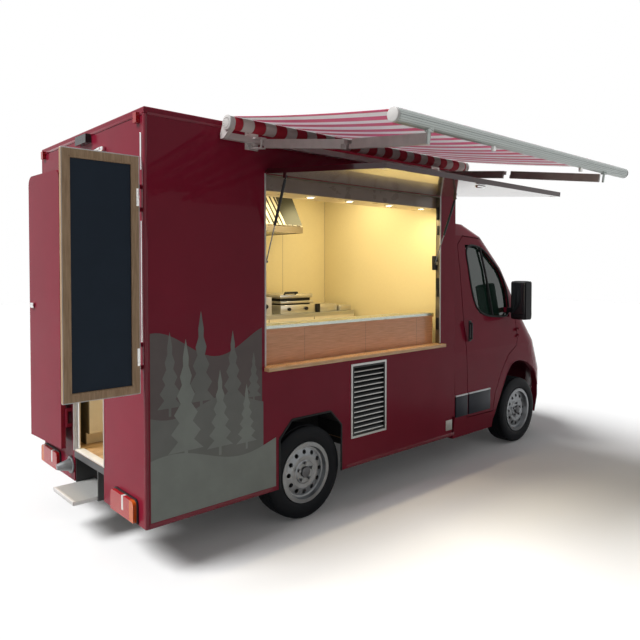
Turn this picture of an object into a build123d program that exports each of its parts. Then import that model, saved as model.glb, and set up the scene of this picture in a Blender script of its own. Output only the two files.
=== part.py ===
import os
from math import asin, atan, cos, degrees, hypot, pi, radians, sin, sqrt

from build123d import *

os.makedirs("parts", exist_ok=True)

# A food truck: a van cab and chassis with a box kitchen behind, its serving hatch, awning,
# menu board, rear door and step all open. Lengths are millimetres, +X forward, +Y left, +Z up.
# Everything is drawn from a point on the ground under the middle of the rear wall, and is
# moved at the end so that the origin lies under the middle of the truck's own box.

# Wheels and axles
REAR_AXLE_X = 1287
WHEELBASE = 3000
CAB_AXLE_X = 1177
TRACK_HALF = 770
TYRE_RADIUS = 345
TYRE_WIDTH = 212
RIM_SEAT_RADIUS = 205
RIM_FLANGE_RADIUS = 224
FRONT_AXLE_X = REAR_AXLE_X + WHEELBASE
AXLE_Z = TYRE_RADIUS
KINGPIN_INSET = 115

# Clearances
SEAT_GAP = 0.3
PIN_GAP = 0.05
PANEL_GAP = 8
RUN_GAP = 6
CAB_GAP = 7

# Box body, which ends at the cab
CAB_REAR_X = FRONT_AXLE_X - CAB_AXLE_X
BOX_LENGTH = CAB_REAR_X - CAB_GAP
BOX_HALF_WIDTH = 897
BOX_BOTTOM_Z = 292
BOX_TOP_Z = 2816
WALL = 45
ROOF_THICK = 40
FLOOR_TOP_Z = 520
FLOOR_THICK = 50
CORNER_RADIUS = 12

# Serving hatch
HATCH_X0 = 893
HATCH_FRONT_POST = 232
HATCH_X1 = BOX_LENGTH - HATCH_FRONT_POST
HATCH_Z0 = 1165
HATCH_HEADER = 311
HATCH_Z1 = BOX_TOP_Z - HATCH_HEADER
FLAP_LAP = 14
FLAP_LENGTH = 1100
FLAP_THICK = 34
FLAP_DROOP = 5.0
FLAP_AXIS_Y = -BOX_HALF_WIDTH - FLAP_THICK / 2 - RUN_GAP
FLAP_AXIS_RISE = 18
FLAP_AXIS_Z = HATCH_Z1 + FLAP_AXIS_RISE
FLAP_BARREL_RADIUS = 9
SHELF_OUT = 52
SHELF_THICK = 26
TREAD = 8
COUNTER_RECESS = 85
COUNTER_TOP_Z = 1450
COUNTER_PANEL = 22
WORKTOP_THICK = 34
STRUT_DROP = 600
STRUT_JAMB_Z = HATCH_Z1 - STRUT_DROP
STRUT_FLAP_REACH = 165
STRUT_INSET_X = 32
STRUT_X = (HATCH_X0 + STRUT_INSET_X, HATCH_X1 - STRUT_INSET_X)
STRUT_EYE_HALF = 7.5
STRUT_BODY_RADIUS = 10
STRUT_ROD_RADIUS = 4.5
STRUT_BODY_SHARE = 0.56

# Vent grille and wheel arch of the box
GRILLE_AHEAD = 453
GRILLE_WIDTH = 385
GRILLE_X0 = REAR_AXLE_X + GRILLE_AHEAD
GRILLE_X1 = GRILLE_X0 + GRILLE_WIDTH
GRILLE_Z0 = 530
GRILLE_Z1 = 1090
GRILLE_SLATS = 13
ARCH_HALF_BOTTOM = 305
ARCH_HALF_TOP = 190
ARCH_SHOULDER_Z = 650
ARCH_TOP_Z = 770
ARCH_AHEAD = 31
ARCH_CENTRE_X = REAR_AXLE_X + ARCH_AHEAD

# Rear doorway, door, step
DOORWAY_Y0 = -280
DOORWAY_Y1 = 250
DOORWAY_HEADER = 276
DOORWAY_TOP_Z = BOX_TOP_Z - DOORWAY_HEADER
DOOR_LAP = 28
DOOR_THICK = 34
DOOR_OPEN = 177
STEP_OUT = 158
STEP_DEPTH = 300
STEP_Y0 = -150
STEP_Y1 = 238
STEP_THICK = 24
STEP_STROKE = 150
STEP_Z1 = BOX_BOTTOM_Z - RUN_GAP
RUNNER_WALL = 12

# Menu board
BOARD_WIDTH = 455
BOARD_Z0 = 1121
BOARD_TOP_DROP = 304
BOARD_Z1 = BOX_TOP_Z - BOARD_TOP_DROP
BOARD_THICK = 26
BOARD_FRAME = 46
BOARD_AXIS_X = -20
BOARD_AXIS_Y = -862

# Awning
AWNING_X0 = 520
AWNING_SHORT = 13
AWNING_X1 = BOX_LENGTH - AWNING_SHORT
ROLL_RADIUS = 42
ROLL_OUT = 103
ROLL_DROP = 34
ROLL_Y = -BOX_HALF_WIDTH - ROLL_OUT
ROLL_Z = BOX_TOP_Z - ROLL_DROP
SHOULDER_INSET = (252, 308)
SHOULDER_X = (AWNING_X0 + SHOULDER_INSET[0], AWNING_X1 - SHOULDER_INSET[1])
SHOULDER_OUT = 118
SHOULDER_DROP = 134
SHOULDER_Y = -BOX_HALF_WIDTH - SHOULDER_OUT
SHOULDER_Z = BOX_TOP_Z - SHOULDER_DROP
AWNING_REACH = 1370
AWNING_FALL = 110
BAR_Y = SHOULDER_Y - AWNING_REACH
BAR_Z = SHOULDER_Z - AWNING_FALL
BAR_HALF = 36
BAR_WALL = 3
ARM_LENGTH = 700
ARM_HEIGHT = 56
ARM_WIDTH = 32
WRIST_DROP = 72
WRIST_Z = BAR_Z - WRIST_DROP

# Chassis
RAIL_Y = 390
RAIL_WIDTH = 60
RAIL_Z0 = 370
RAIL_WALL = 6
STEADY_X = (REAR_AXLE_X - 727, BOX_LENGTH - 333)
STEADY_Y = 560
STEADY_LENGTH = 250
STEADY_PIN_DROP = 18
STEADY_PIN_Z = BOX_BOTTOM_Z - STEADY_PIN_DROP
STEADY_PIN_RADIUS = 9

# Cab, set out from the front axle
CAB_WALL = 60
CAB_ROOF_WALL = 45
GLASS = 6
CAB_FLOOR_Z = 620
CAB_FLOOR_THICK = 40
DOOR_HINGE_BACK = 35
DOOR_HINGE_X = FRONT_AXLE_X - DOOR_HINGE_BACK
DOOR_AXIS_HALF = 888
BONNET_HINGE_AHEAD = 303
BONNET_HINGE_X = FRONT_AXLE_X + BONNET_HINGE_AHEAD
BONNET_HINGE_Z = 1345
COWL_RECESS = 44
HINGE_RADIUS = 7

# The overall reach, which places the origin
REACH_REAR = BOARD_AXIS_X - BOARD_WIDTH
NOSE_AHEAD = 903
REACH_FRONT = FRONT_AXLE_X + NOSE_AHEAD
REACH_RIGHT = BAR_Y - BAR_HALF
REACH_LEFT = 1100
ORIGIN_X = (REACH_REAR + REACH_FRONT) / 2
ORIGIN_Y = (REACH_RIGHT + REACH_LEFT) / 2


def save(name, *solids):
    """Write one node: its solids, moved to the truck's own origin."""
    moved = [s.moved(Location((-ORIGIN_X, -ORIGIN_Y, 0))) for s in solids]
    shape = moved[0] if len(moved) == 1 else Compound(children=moved)
    export_step(shape, f"parts/{name}.step")


def block(x0, x1, y0, y1, z0, z1):
    """A rectangular solid between two corners."""
    size = (x1 - x0, y1 - y0, z1 - z0)
    return Pos((x0 + x1) / 2, (y0 + y1) / 2, (z0 + z1) / 2) * Box(*size)


def prism_y(points, y0, y1):
    """A polygon given in (x, z), extruded from y0 to y1."""
    face = make_face(Polyline([(x, y0, z) for x, z in points], close=True))
    return extrude(face, amount=y1 - y0, dir=(0, 1, 0))


def prism_x(points, x0, x1):
    """A polygon given in (y, z), extruded from x0 to x1."""
    face = make_face(Polyline([(x0, y, z) for y, z in points], close=True))
    return extrude(face, amount=x1 - x0, dir=(1, 0, 0))


def prism_z(points, z0, z1):
    """A polygon given in (x, y), extruded from z0 to z1."""
    face = make_face(Polyline([(x, y, z0) for x, y in points], close=True))
    return extrude(face, amount=z1 - z0, dir=(0, 0, 1))


def rod(start, end, radius):
    """A round bar between two points."""
    start, end = Vector(start), Vector(end)
    plane = Plane(origin=start, z_dir=end - start)
    return extrude(plane * Circle(radius), amount=(end - start).length)


def mirrored(solid):
    """The same piece on the other side of the truck."""
    return mirror(solid, about=Plane.XZ)


def one(shape):
    """The single solid of a shape that a cut or a fuse made."""
    solids = shape.solids()
    return max(solids, key=lambda s: s.volume)


# Wheels

TYRE_SIDES = 60
BEAD_STEP = 14


def tyre_ring(y, radius):
    """One many-sided section of the tyre, with a flat at its foot."""
    plane = Plane(origin=(0, y, 0), x_dir=(1, 0, 0), z_dir=(0, 1, 0))
    return plane * RegularPolygon(radius, TYRE_SIDES, major_radius=False, rotation=180 / TYRE_SIDES)


def tyre():
    """A road tyre on its side, many-sided so that it stays light."""
    half = TYRE_WIDTH / 2
    rings = [
        (-half + BEAD_STEP, RIM_FLANGE_RADIUS + 6), (-half, RIM_FLANGE_RADIUS + 46),
        (-half + 5, TYRE_RADIUS - 26), (-half + 22, TYRE_RADIUS - 5), (-half + 42, TYRE_RADIUS),
    ]
    rings += [(-y, radius) for y, radius in reversed(rings)]
    body = loft([tyre_ring(y, radius) for y, radius in rings], ruled=True)
    bore = extrude(tyre_ring(-half, RIM_SEAT_RADIUS), amount=TYRE_WIDTH, dir=(0, 1, 0))
    return one(body - bore)


RIM_HOLES = 12
RIM_HOLE_RADIUS = 17
RIM_HOLE_PCD_RADIUS = 148
STUDS = 5
STUD_PCD_RADIUS = 65
HUB_FACE = 60
RIM_WALL = 9


def rim():
    """A pressed steel wheel: barrel, dished disc with round vents, raised hub."""
    half = TYRE_WIDTH / 2 - BEAD_STEP
    seat = RIM_SEAT_RADIUS - SEAT_GAP
    flange = RIM_FLANGE_RADIUS
    lip = half + SEAT_GAP
    face_y = -HUB_FACE
    profile = [
        (seat, -half), (flange, -lip), (flange, -lip - RIM_WALL), (seat - RIM_WALL, -lip - RIM_WALL),
        (seat - 18, -half + 20), (175, face_y - 10), (120, face_y - 22), (88, face_y - 20), (80, face_y - 26),
        (44, face_y - 26), (44, face_y - 14), (30, face_y - 14), (30, face_y), (88, face_y),
        (120, face_y - 10), (168, face_y + 4), (seat - 18, face_y + 22), (seat - RIM_WALL, half - 10),
        (seat - RIM_WALL, lip + RIM_WALL), (flange, lip + RIM_WALL), (flange, lip), (seat, half),
    ]
    face = make_face(Polyline([(r, y, 0) for r, y in profile], close=True))
    disc = revolve(face, Axis.Y)
    for i in range(RIM_HOLES):
        a = 2 * pi * i / RIM_HOLES
        x, z = RIM_HOLE_PCD_RADIUS * cos(a), RIM_HOLE_PCD_RADIUS * sin(a)
        disc -= rod((x, face_y - 60, z), (x, face_y + 60, z), RIM_HOLE_RADIUS)
    for i in range(STUDS):
        a = 2 * pi * i / STUDS + pi / 2
        x, z = STUD_PCD_RADIUS * cos(a), STUD_PCD_RADIUS * sin(a)
        disc += rod((x, face_y - 20, z), (x, face_y - 44, z), 11)
    return one(disc)


def place_wheel(solid, x, side):
    """Set a wheel piece at an axle end; side is -1 on the right, 1 on the left."""
    turned = solid if side < 0 else Rot(0, 0, 180) * solid
    return Pos(x, side * TRACK_HALF, AXLE_Z) * turned


TYRE = tyre()
RIM = rim()
for end, axle_x in (("rear", REAR_AXLE_X), ("front", FRONT_AXLE_X)):
    for name, side in (("right", -1), ("left", 1)):
        save(f"tyre_{end}_{name}", place_wheel(TYRE, axle_x, side))
        save(f"rim_{end}_{name}", place_wheel(RIM, axle_x, side))


# Axles, knuckles and chassis

HUB_RADIUS = 78
HUB_SEAT_Y = TRACK_HALF + HUB_FACE - SEAT_GAP
BRAKE_RADIUS = 150
BRAKE_THICK = 22
AXLE_BEAM_Z = 258
AXLE_BEAM_RADIUS = 34
SPRING_Y = 520
SPRING_HALF = 560
SPRING_Z = 330


def hub(x, side, inner_y):
    """Hub flange and brake disc on their shaft, from the carrier out to the wheel."""
    flange = rod((x, side * (HUB_SEAT_Y - 14), AXLE_Z), (x, side * HUB_SEAT_Y, AXLE_Z), HUB_RADIUS)
    disc_y = HUB_SEAT_Y - 14 - BRAKE_THICK
    disc = rod((x, side * disc_y, AXLE_Z), (x, side * (disc_y + BRAKE_THICK), AXLE_Z), BRAKE_RADIUS)
    shaft = rod((x, side * inner_y, AXLE_Z), (x, side * disc_y, AXLE_Z), 48)
    return flange + disc + shaft


def knuckle(side):
    """Front upright with its steering arm, hub and brake disc."""
    pin_y = TRACK_HALF - KINGPIN_INSET
    upright = block(FRONT_AXLE_X - 45, FRONT_AXLE_X + 45, pin_y - 35, pin_y + 5, AXLE_Z - 90, AXLE_Z + 150)
    arm = block(FRONT_AXLE_X - 150, FRONT_AXLE_X - 40, pin_y - 35, pin_y - 10, AXLE_Z - 60, AXLE_Z - 30)
    kingpin = rod((FRONT_AXLE_X, pin_y, AXLE_Z - 90), (FRONT_AXLE_X, pin_y, AXLE_Z + 150), 24)
    body = upright + arm + kingpin
    body = body if side > 0 else mirrored(body)
    return one(body + hub(FRONT_AXLE_X, side, pin_y - 30))


KNUCKLE_TOP_Z = AXLE_Z + 150
KNUCKLE_BOTTOM_Z = AXLE_Z - 90
STRUT_LEG_Y = TRACK_HALF - KINGPIN_INSET - 48
ARCH_LINER_Z = 935
COIL_Z0 = 730


def front_beam():
    """Cross member with its lower arms and the steering rack."""
    beam = block(FRONT_AXLE_X - 150, FRONT_AXLE_X + 90, -RAIL_Y, RAIL_Y, RAIL_Z0 - 75, RAIL_Z0)
    rack = rod((FRONT_AXLE_X - 175, -420, 330), (FRONT_AXLE_X - 175, 420, 330), 26)
    solid = beam + rack
    pin_y = TRACK_HALF - KINGPIN_INSET
    inner = RAIL_Y - 60
    high = KNUCKLE_BOTTOM_Z - SEAT_GAP
    points = [
        (FRONT_AXLE_X - 150, inner), (FRONT_AXLE_X + 90, inner), (FRONT_AXLE_X + 25, pin_y - 15),
        (FRONT_AXLE_X - 25, pin_y - 15),
    ]
    wishbone = prism_z(points, high - 24, high)
    wishbone += block(FRONT_AXLE_X - 150, FRONT_AXLE_X + 90, inner, RAIL_Y - 20, high - 24, RAIL_Z0 - 10)
    return one(solid + wishbone + mirrored(wishbone))


def spring_leg(side):
    """Damper leg and coil from over the knuckle to the turret in the inner arch."""
    top = ARCH_LINER_Z - SEAT_GAP
    low = KNUCKLE_TOP_Z + SEAT_GAP
    leg = rod((FRONT_AXLE_X, side * STRUT_LEG_Y, low), (FRONT_AXLE_X, side * STRUT_LEG_Y, top), 26)
    coil_y = side * (STRUT_LEG_Y - 20)
    coil = rod((FRONT_AXLE_X, coil_y, COIL_Z0), (FRONT_AXLE_X, coil_y, top), 62)
    return one(leg + coil)


def rear_axle():
    """Dropped beam axle on two leaf springs, with hubs and dampers."""
    stub_y = TRACK_HALF - 120
    beam = rod((REAR_AXLE_X, -stub_y, AXLE_BEAM_Z), (REAR_AXLE_X, stub_y, AXLE_BEAM_Z), AXLE_BEAM_RADIUS)
    solid = beam
    for side in (-1, 1):
        y0, y1 = sorted((side * (stub_y - 30), side * (stub_y + 10)))
        upright = block(REAR_AXLE_X - 50, REAR_AXLE_X + 50, y0, y1, AXLE_BEAM_Z - 30, AXLE_Z + 55)
        spring_low = SPRING_Z - 45
        arc = ThreePointArc(
            (REAR_AXLE_X - SPRING_HALF, side * SPRING_Y, SPRING_Z + 25),
            (REAR_AXLE_X, side * SPRING_Y, spring_low),
            (REAR_AXLE_X + SPRING_HALF, side * SPRING_Y, SPRING_Z + 25),
        )
        ends = [arc @ 0, arc @ 1]
        upper = Polyline([ends[1], ends[1] + Vector(0, 0, 14)])
        arc_top = ThreePointArc(
            ends[1] + Vector(0, 0, 14), (arc @ 0.5) + Vector(0, 0, 20), ends[0] + Vector(0, 0, 14)
        )
        lower = Polyline([ends[0] + Vector(0, 0, 14), ends[0]])
        leaf = extrude(make_face([arc, upper, arc_top, lower]), amount=30, both=True, dir=(0, 1, 0))
        solid += upright + leaf + hub(REAR_AXLE_X, side, stub_y)
        for x in (REAR_AXLE_X - SPRING_HALF + 25, REAR_AXLE_X + SPRING_HALF - 25):
            z0 = SPRING_Z + 10
            a, b = sorted((side * (RAIL_Y + RAIL_WIDTH / 2), side * (SPRING_Y + 25)))
            solid += block(x - 22, x + 22, a, b, z0, RAIL_Z0 + 60)
        foot = (REAR_AXLE_X + 20, side * 470, AXLE_BEAM_Z)
        solid += rod(foot, (REAR_AXLE_X + 230, side * 450, RAIL_Z0 + 60), 22)
    return one(solid)


RAIL_X0 = 130
RAIL_X1 = FRONT_AXLE_X + 493
RAIL_Z1 = FLOOR_TOP_Z - FLOOR_THICK
CROSS_X = (350, 820, REAR_AXLE_X + 363, REAR_AXLE_X + 993, BOX_LENGTH - 43, CAB_REAR_X + 690)
TANK_X = (REAR_AXLE_X + 575, REAR_AXLE_X + 1093)
CAB_MOUNT_X = (CAB_REAR_X + 110, CAB_REAR_X + 580, FRONT_AXLE_X - 7)


def chassis():
    """Ladder frame: two channel rails, cross members, rear bar and the fuel tank."""
    z0, z1 = RAIL_Z0, RAIL_Z1
    y0, y1 = RAIL_Y - RAIL_WIDTH / 2, RAIL_Y + RAIL_WIDTH / 2
    rail = block(RAIL_X0, RAIL_X1, y0, y1, z0, z1)
    rail -= block(RAIL_X0 - 1, RAIL_X1 + 1, y0 - 1, y1 - RAIL_WALL, z0 + RAIL_WALL, z1 - RAIL_WALL)
    solid = rail + mirrored(rail)
    for x in CROSS_X:
        solid += block(x - 25, x + 25, -y0 - RAIL_WALL, y0 + RAIL_WALL, z0 + 15, z1 - 15)
        solid += block(x - 25, x + 25, -y1 + 1, y1 - 1, z0 + 15, z1 - 15)
    for x in CAB_MOUNT_X:
        mount = block(x - 30, x + 30, y0 + 5, y1 - 5, z1 - 1, CAB_FLOOR_Z - CAB_FLOOR_THICK - SEAT_GAP)
        solid += mount + mirrored(mount)
    tank = block(TANK_X[0], TANK_X[1], y1, y1 + 260, RAIL_Z0 - 60, z1 - 12)
    tank = fillet(tank.edges().filter_by(Axis.X), 30)
    solid += tank
    return one(solid)


def steady_bracket(x):
    """The hanger that a corner steady folds down from: a plate and two bored ears."""
    bracket = block(x - 60, x - 30, STEADY_Y - 45, STEADY_Y + 45, STEADY_PIN_Z - 12, RAIL_Z1)
    for y in (STEADY_Y - 32, STEADY_Y + 32):
        ear = block(x - 31, x + 16, y - 6, y + 6, STEADY_PIN_Z - 14, STEADY_PIN_Z + 26)
        bracket += ear - rod((x, y - 8, STEADY_PIN_Z), (x, y + 8, STEADY_PIN_Z), STEADY_PIN_RADIUS + PIN_GAP)
    return bracket


save("front_axle", front_beam(), spring_leg(-1), spring_leg(1))
save("rear_axle", rear_axle())
save("chassis", chassis())
for name, side in (("right", -1), ("left", 1)):
    save(f"knuckle_{name}", knuckle(side))

ENGINE_X0 = FRONT_AXLE_X + 183
ENGINE_X1 = FRONT_AXLE_X + 593
engine = block(ENGINE_X0, ENGINE_X1, -300, 280, 400, 960)
engine = chamfer(engine.edges(), 18)
mount_half = RAIL_Y + RAIL_WIDTH / 2 - RAIL_WALL - SEAT_GAP
engine += block(ENGINE_X0 + 170, ENGINE_X0 + 230, -mount_half, mount_half, 392, 440)
save("engine_block", one(engine))

EXHAUST_Y = 130
EXHAUST_Z = 268
EXHAUST_END_X = REAR_AXLE_X + 413
SILENCER_X = (EXHAUST_END_X + 600, EXHAUST_END_X + 1060)
silencer = rod((SILENCER_X[0], EXHAUST_Y, EXHAUST_Z), (SILENCER_X[1], EXHAUST_Y, EXHAUST_Z), 62)
pipe = rod((EXHAUST_END_X, EXHAUST_Y, EXHAUST_Z), (FRONT_AXLE_X - 387, EXHAUST_Y, EXHAUST_Z), 24)
hanger = block(SILENCER_X[0] + 200, SILENCER_X[0] + 230, EXHAUST_Y - 12, EXHAUST_Y + 12, EXHAUST_Z, RAIL_Z1)
save("exhaust", one(silencer + pipe + hanger))


# Box body

IN_HALF = BOX_HALF_WIDTH - WALL
ROOF_IN_Z = BOX_TOP_Z - ROOF_THICK
ARCH_POINTS = [
    (ARCH_CENTRE_X - ARCH_HALF_BOTTOM, BOX_BOTTOM_Z - 40),
    (ARCH_CENTRE_X - ARCH_HALF_BOTTOM, ARCH_SHOULDER_Z),
    (ARCH_CENTRE_X - ARCH_HALF_TOP, ARCH_TOP_Z),
    (ARCH_CENTRE_X + ARCH_HALF_TOP, ARCH_TOP_Z),
    (ARCH_CENTRE_X + ARCH_HALF_BOTTOM, ARCH_SHOULDER_Z),
    (ARCH_CENTRE_X + ARCH_HALF_BOTTOM, BOX_BOTTOM_Z - 40),
]
WELL_INNER_Y = TRACK_HALF - 210
WELL_HALF = 392
WELL_TOP_Z = 792
WELL_WALL = 12
WELL_SKIN = 10


def well_outline(grow, low):
    """The space round a rear wheel, in (x, z)."""
    half, top = WELL_HALF + grow, WELL_TOP_Z + grow
    cut = 150
    return [
        (REAR_AXLE_X - half, low), (REAR_AXLE_X - half, top - cut), (REAR_AXLE_X - half + cut, top),
        (REAR_AXLE_X + half - cut, top), (REAR_AXLE_X + half, top - cut), (REAR_AXLE_X + half, low),
    ]


def side_wall(side):
    """One long wall of the box, open at the wheel arch."""
    y0, y1 = sorted((side * BOX_HALF_WIDTH, side * IN_HALF))
    wall = block(WALL, BOX_LENGTH - WALL, y0, y1, BOX_BOTTOM_Z, ROOF_IN_Z)
    a, b = sorted((side * (IN_HALF - 1), side * (BOX_HALF_WIDTH - WELL_SKIN)))
    wall -= prism_y(well_outline(0, BOX_BOTTOM_Z - 1), a, b)
    return wall - prism_y(ARCH_POINTS, y0 - 1, y1 + 1)


right_wall = side_wall(-1)
right_wall -= block(HATCH_X0, HATCH_X1, -BOX_HALF_WIDTH - 1, -IN_HALF + 1, HATCH_Z0, HATCH_Z1)
right_wall -= block(GRILLE_X0, GRILLE_X1, -BOX_HALF_WIDTH - 1, -IN_HALF + 1, GRILLE_Z0, GRILLE_Z1)
right_wall += block(HATCH_X0 - FLAP_LAP, HATCH_X1 + FLAP_LAP, FLAP_AXIS_Y + FLAP_BARREL_RADIUS + SEAT_GAP,
                    -BOX_HALF_WIDTH + 1, FLAP_AXIS_Z - 5, FLAP_AXIS_Z + 13)
STRUT_BOTTOM = (-IN_HALF - 12, STRUT_JAMB_Z)
for x0, x1 in ((HATCH_X0 - 1, STRUT_X[0] - STRUT_EYE_HALF - SEAT_GAP),
               (STRUT_X[1] + STRUT_EYE_HALF + SEAT_GAP, HATCH_X1 + 1)):
    jamb_y = (STRUT_BOTTOM[0] - 11, STRUT_BOTTOM[0] + 11)
    right_wall += block(x0, x1, *jamb_y, STRUT_JAMB_Z - 14, STRUT_JAMB_Z + 14)
save("box_right_wall", one(right_wall))
save("box_left_wall", one(side_wall(1)))

rear_wall = block(0, WALL, -BOX_HALF_WIDTH, BOX_HALF_WIDTH, BOX_BOTTOM_Z, ROOF_IN_Z)
rear_wall -= block(-1, WALL + 1, DOORWAY_Y0, DOORWAY_Y1, BOX_BOTTOM_Z - 1, DOORWAY_TOP_Z)
rear_wall = fillet(rear_wall.edges().filter_by(Axis.Z).group_by(Axis.X)[0].filter_by(
    lambda e: abs(abs(e.center().Y) - BOX_HALF_WIDTH) < 1), CORNER_RADIUS)

DOOR_AXIS_X = -DOOR_THICK - RUN_GAP - 2
DOOR_AXIS_Y = DOORWAY_Y1 + DOOR_LAP + 10
DOOR_BARREL_RADIUS = 9
DOOR_BARREL_ENDS = (FLOOR_TOP_Z + 240, DOORWAY_TOP_Z - 180)
DOOR_BARREL_Z = (DOOR_BARREL_ENDS[0], sum(DOOR_BARREL_ENDS) / 2, DOOR_BARREL_ENDS[1])
DOOR_BARREL_HALF = 45
BOARD_BARREL_RADIUS = 7
BOARD_BARREL_Z = (BOARD_Z0 + 214, BOARD_Z1 - 237)
BOARD_BARREL_HALF = 55
KNUCKLE_LENGTH = 24


def wall_knuckles(x, y, radius, z, half):
    """The wall's own knuckles, above and below one barrel of a hinge."""
    low = (z - half - KNUCKLE_LENGTH, z - half - SEAT_GAP)
    high = (z + half + SEAT_GAP, z + half + KNUCKLE_LENGTH)
    lower, upper = (rod((x, y, z0), (x, y, z1), radius) + block(x, 1, y - 4, y + radius, z0, z1)
                    for z0, z1 in (low, high))
    return lower + upper


for z in DOOR_BARREL_Z:
    rear_wall += wall_knuckles(DOOR_AXIS_X, DOOR_AXIS_Y, DOOR_BARREL_RADIUS, z, DOOR_BARREL_HALF)
for z in BOARD_BARREL_Z:
    rear_wall += wall_knuckles(BOARD_AXIS_X, BOARD_AXIS_Y, BOARD_BARREL_RADIUS, z, BOARD_BARREL_HALF)
save("box_rear_wall", one(rear_wall))

front_wall = block(BOX_LENGTH - WALL, BOX_LENGTH, -BOX_HALF_WIDTH, BOX_HALF_WIDTH, RAIL_Z1, ROOF_IN_Z)
save("box_front_wall", front_wall)

DUCT_X = 1650
DUCT_Y = 560
DUCT_RADIUS = 110
roof = block(0, BOX_LENGTH, -BOX_HALF_WIDTH, BOX_HALF_WIDTH, ROOF_IN_Z, BOX_TOP_Z)
roof = fillet(roof.edges().group_by(Axis.Z)[-1], CORNER_RADIUS)
roof -= rod((DUCT_X, DUCT_Y, ROOF_IN_Z - 1), (DUCT_X, DUCT_Y, BOX_TOP_Z + 1), DUCT_RADIUS + SEAT_GAP)
save("box_roof", roof)


def step_runner(edge, out):
    """The hanger and lip that the entry step slides on, at one edge of the step."""
    x0, x1 = 8, STEP_DEPTH - STEP_OUT + STEP_STROKE + 8
    low = STEP_Z1 - STEP_THICK - SEAT_GAP
    a, b = sorted((edge + out * SEAT_GAP, edge + out * RUNNER_WALL))
    c, d = sorted((edge - out * 16, edge + out * RUNNER_WALL))
    return block(x0, x1, a, b, low - 6, RAIL_Z1 + 1) + block(x0, x1, c, d, low - 6, low)


def box_floor():
    """Floor panel with the two wheel boxes, the door sill and the hangers below."""
    floor = block(WALL, BOX_LENGTH - WALL, -IN_HALF, IN_HALF, RAIL_Z1, FLOOR_TOP_Z)
    floor += block(0, WALL, DOORWAY_Y0, DOORWAY_Y1, RAIL_Z1, FLOOR_TOP_Z)
    for side in (-1, 1):
        y0, y1 = sorted((side * (WELL_INNER_Y - WELL_WALL), side * IN_HALF))
        floor += prism_y(well_outline(WELL_WALL, RAIL_Z1), y0, y1)
        y0, y1 = sorted((side * WELL_INNER_Y, side * (IN_HALF + 1)))
        floor -= prism_y(well_outline(0, RAIL_Z1 - 1), y0, y1)
    for x in STEADY_X:
        floor += steady_bracket(x) + mirrored(steady_bracket(x))
    return one(floor + step_runner(STEP_Y0, -1) + step_runner(STEP_Y1, 1))


save("box_floor", box_floor())


# Serving hatch: counter, shelf, lamp soffit, vent grille

def serving_counter():
    """Wooden counter front set back in the hatch, its worktop, and the shelf outside."""
    face_y = -BOX_HALF_WIDTH + COUNTER_RECESS
    x0, x1 = HATCH_X0 + SEAT_GAP, HATCH_X1 - SEAT_GAP
    panel = block(x0, x1, face_y, face_y + COUNTER_PANEL, HATCH_Z0, COUNTER_TOP_Z - WORKTOP_THICK)
    top = block(x0, x1, face_y - 14, face_y + 120, COUNTER_TOP_Z - WORKTOP_THICK, COUNTER_TOP_Z)
    shelf = block(HATCH_X0 - 12, HATCH_X1 + 26, -BOX_HALF_WIDTH - SHELF_OUT, -BOX_HALF_WIDTH,
                  HATCH_Z0 - SHELF_THICK + TREAD, HATCH_Z0 + TREAD)
    tread = block(x0, x1, -BOX_HALF_WIDTH - 1, face_y + COUNTER_PANEL, HATCH_Z0, HATCH_Z0 + TREAD)
    return one(panel + top + shelf + tread)


save("serving_counter", serving_counter())

SOFFIT_Z = HATCH_Z1 - 105
SOFFIT_Y1 = -600
SOFFIT_BOARD = 14
soffit = block(HATCH_X0, HATCH_X1, -IN_HALF, SOFFIT_Y1, SOFFIT_Z, SOFFIT_Z + SOFFIT_BOARD)
soffit += block(HATCH_X0, HATCH_X1, SOFFIT_Y1 - SOFFIT_BOARD, SOFFIT_Y1, SOFFIT_Z, ROOF_IN_Z)
soffit += block(HATCH_X0, HATCH_X1, -IN_HALF, -IN_HALF + SOFFIT_BOARD, SOFFIT_Z, ROOF_IN_Z)
save("lamp_soffit", one(soffit))

GRILLE_FRAME = 18
GRILLE_PROUD = 6


def vent_grille():
    """Aluminium frame with sloping slats."""
    y0 = -BOX_HALF_WIDTH - GRILLE_PROUD
    y1 = -IN_HALF
    lip = 14
    x0, x1 = GRILLE_X0 + SEAT_GAP, GRILLE_X1 - SEAT_GAP
    z0, z1 = GRILLE_Z0 + SEAT_GAP, GRILLE_Z1 - SEAT_GAP
    frame = block(x0, x1, -BOX_HALF_WIDTH, y1, z0, z1)
    frame += block(x0 - lip, x1 + lip, y0, -BOX_HALF_WIDTH, z0 - lip, z1 + lip)
    frame -= block(x0 + GRILLE_FRAME, x1 - GRILLE_FRAME, y0 - 1, y1 + 1, z0 + GRILLE_FRAME, z1 - GRILLE_FRAME)
    pitch = (z1 - z0 - 2 * GRILLE_FRAME) / GRILLE_SLATS
    rise = pitch * 0.75
    for i in range(GRILLE_SLATS):
        z = z0 + GRILLE_FRAME + (i + 0.5) * pitch
        low, high = z - rise / 2, z + rise / 2
        slat = [(y0 + 2, low), (y0 + 2, low + 3), (y0 + 28, high + 3), (y0 + 28, high)]
        frame += prism_x(slat, x0 + GRILLE_FRAME - 2, x1 - GRILLE_FRAME + 2)
    return one(frame)


save("vent_grille", vent_grille())


# Kitchen

UNIT_TOP_Z = 1415
UNIT_FRONT_Y = 285
UNIT_X0 = 120
UNIT_X1 = BOX_LENGTH - 143
PLINTH = 60


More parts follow.
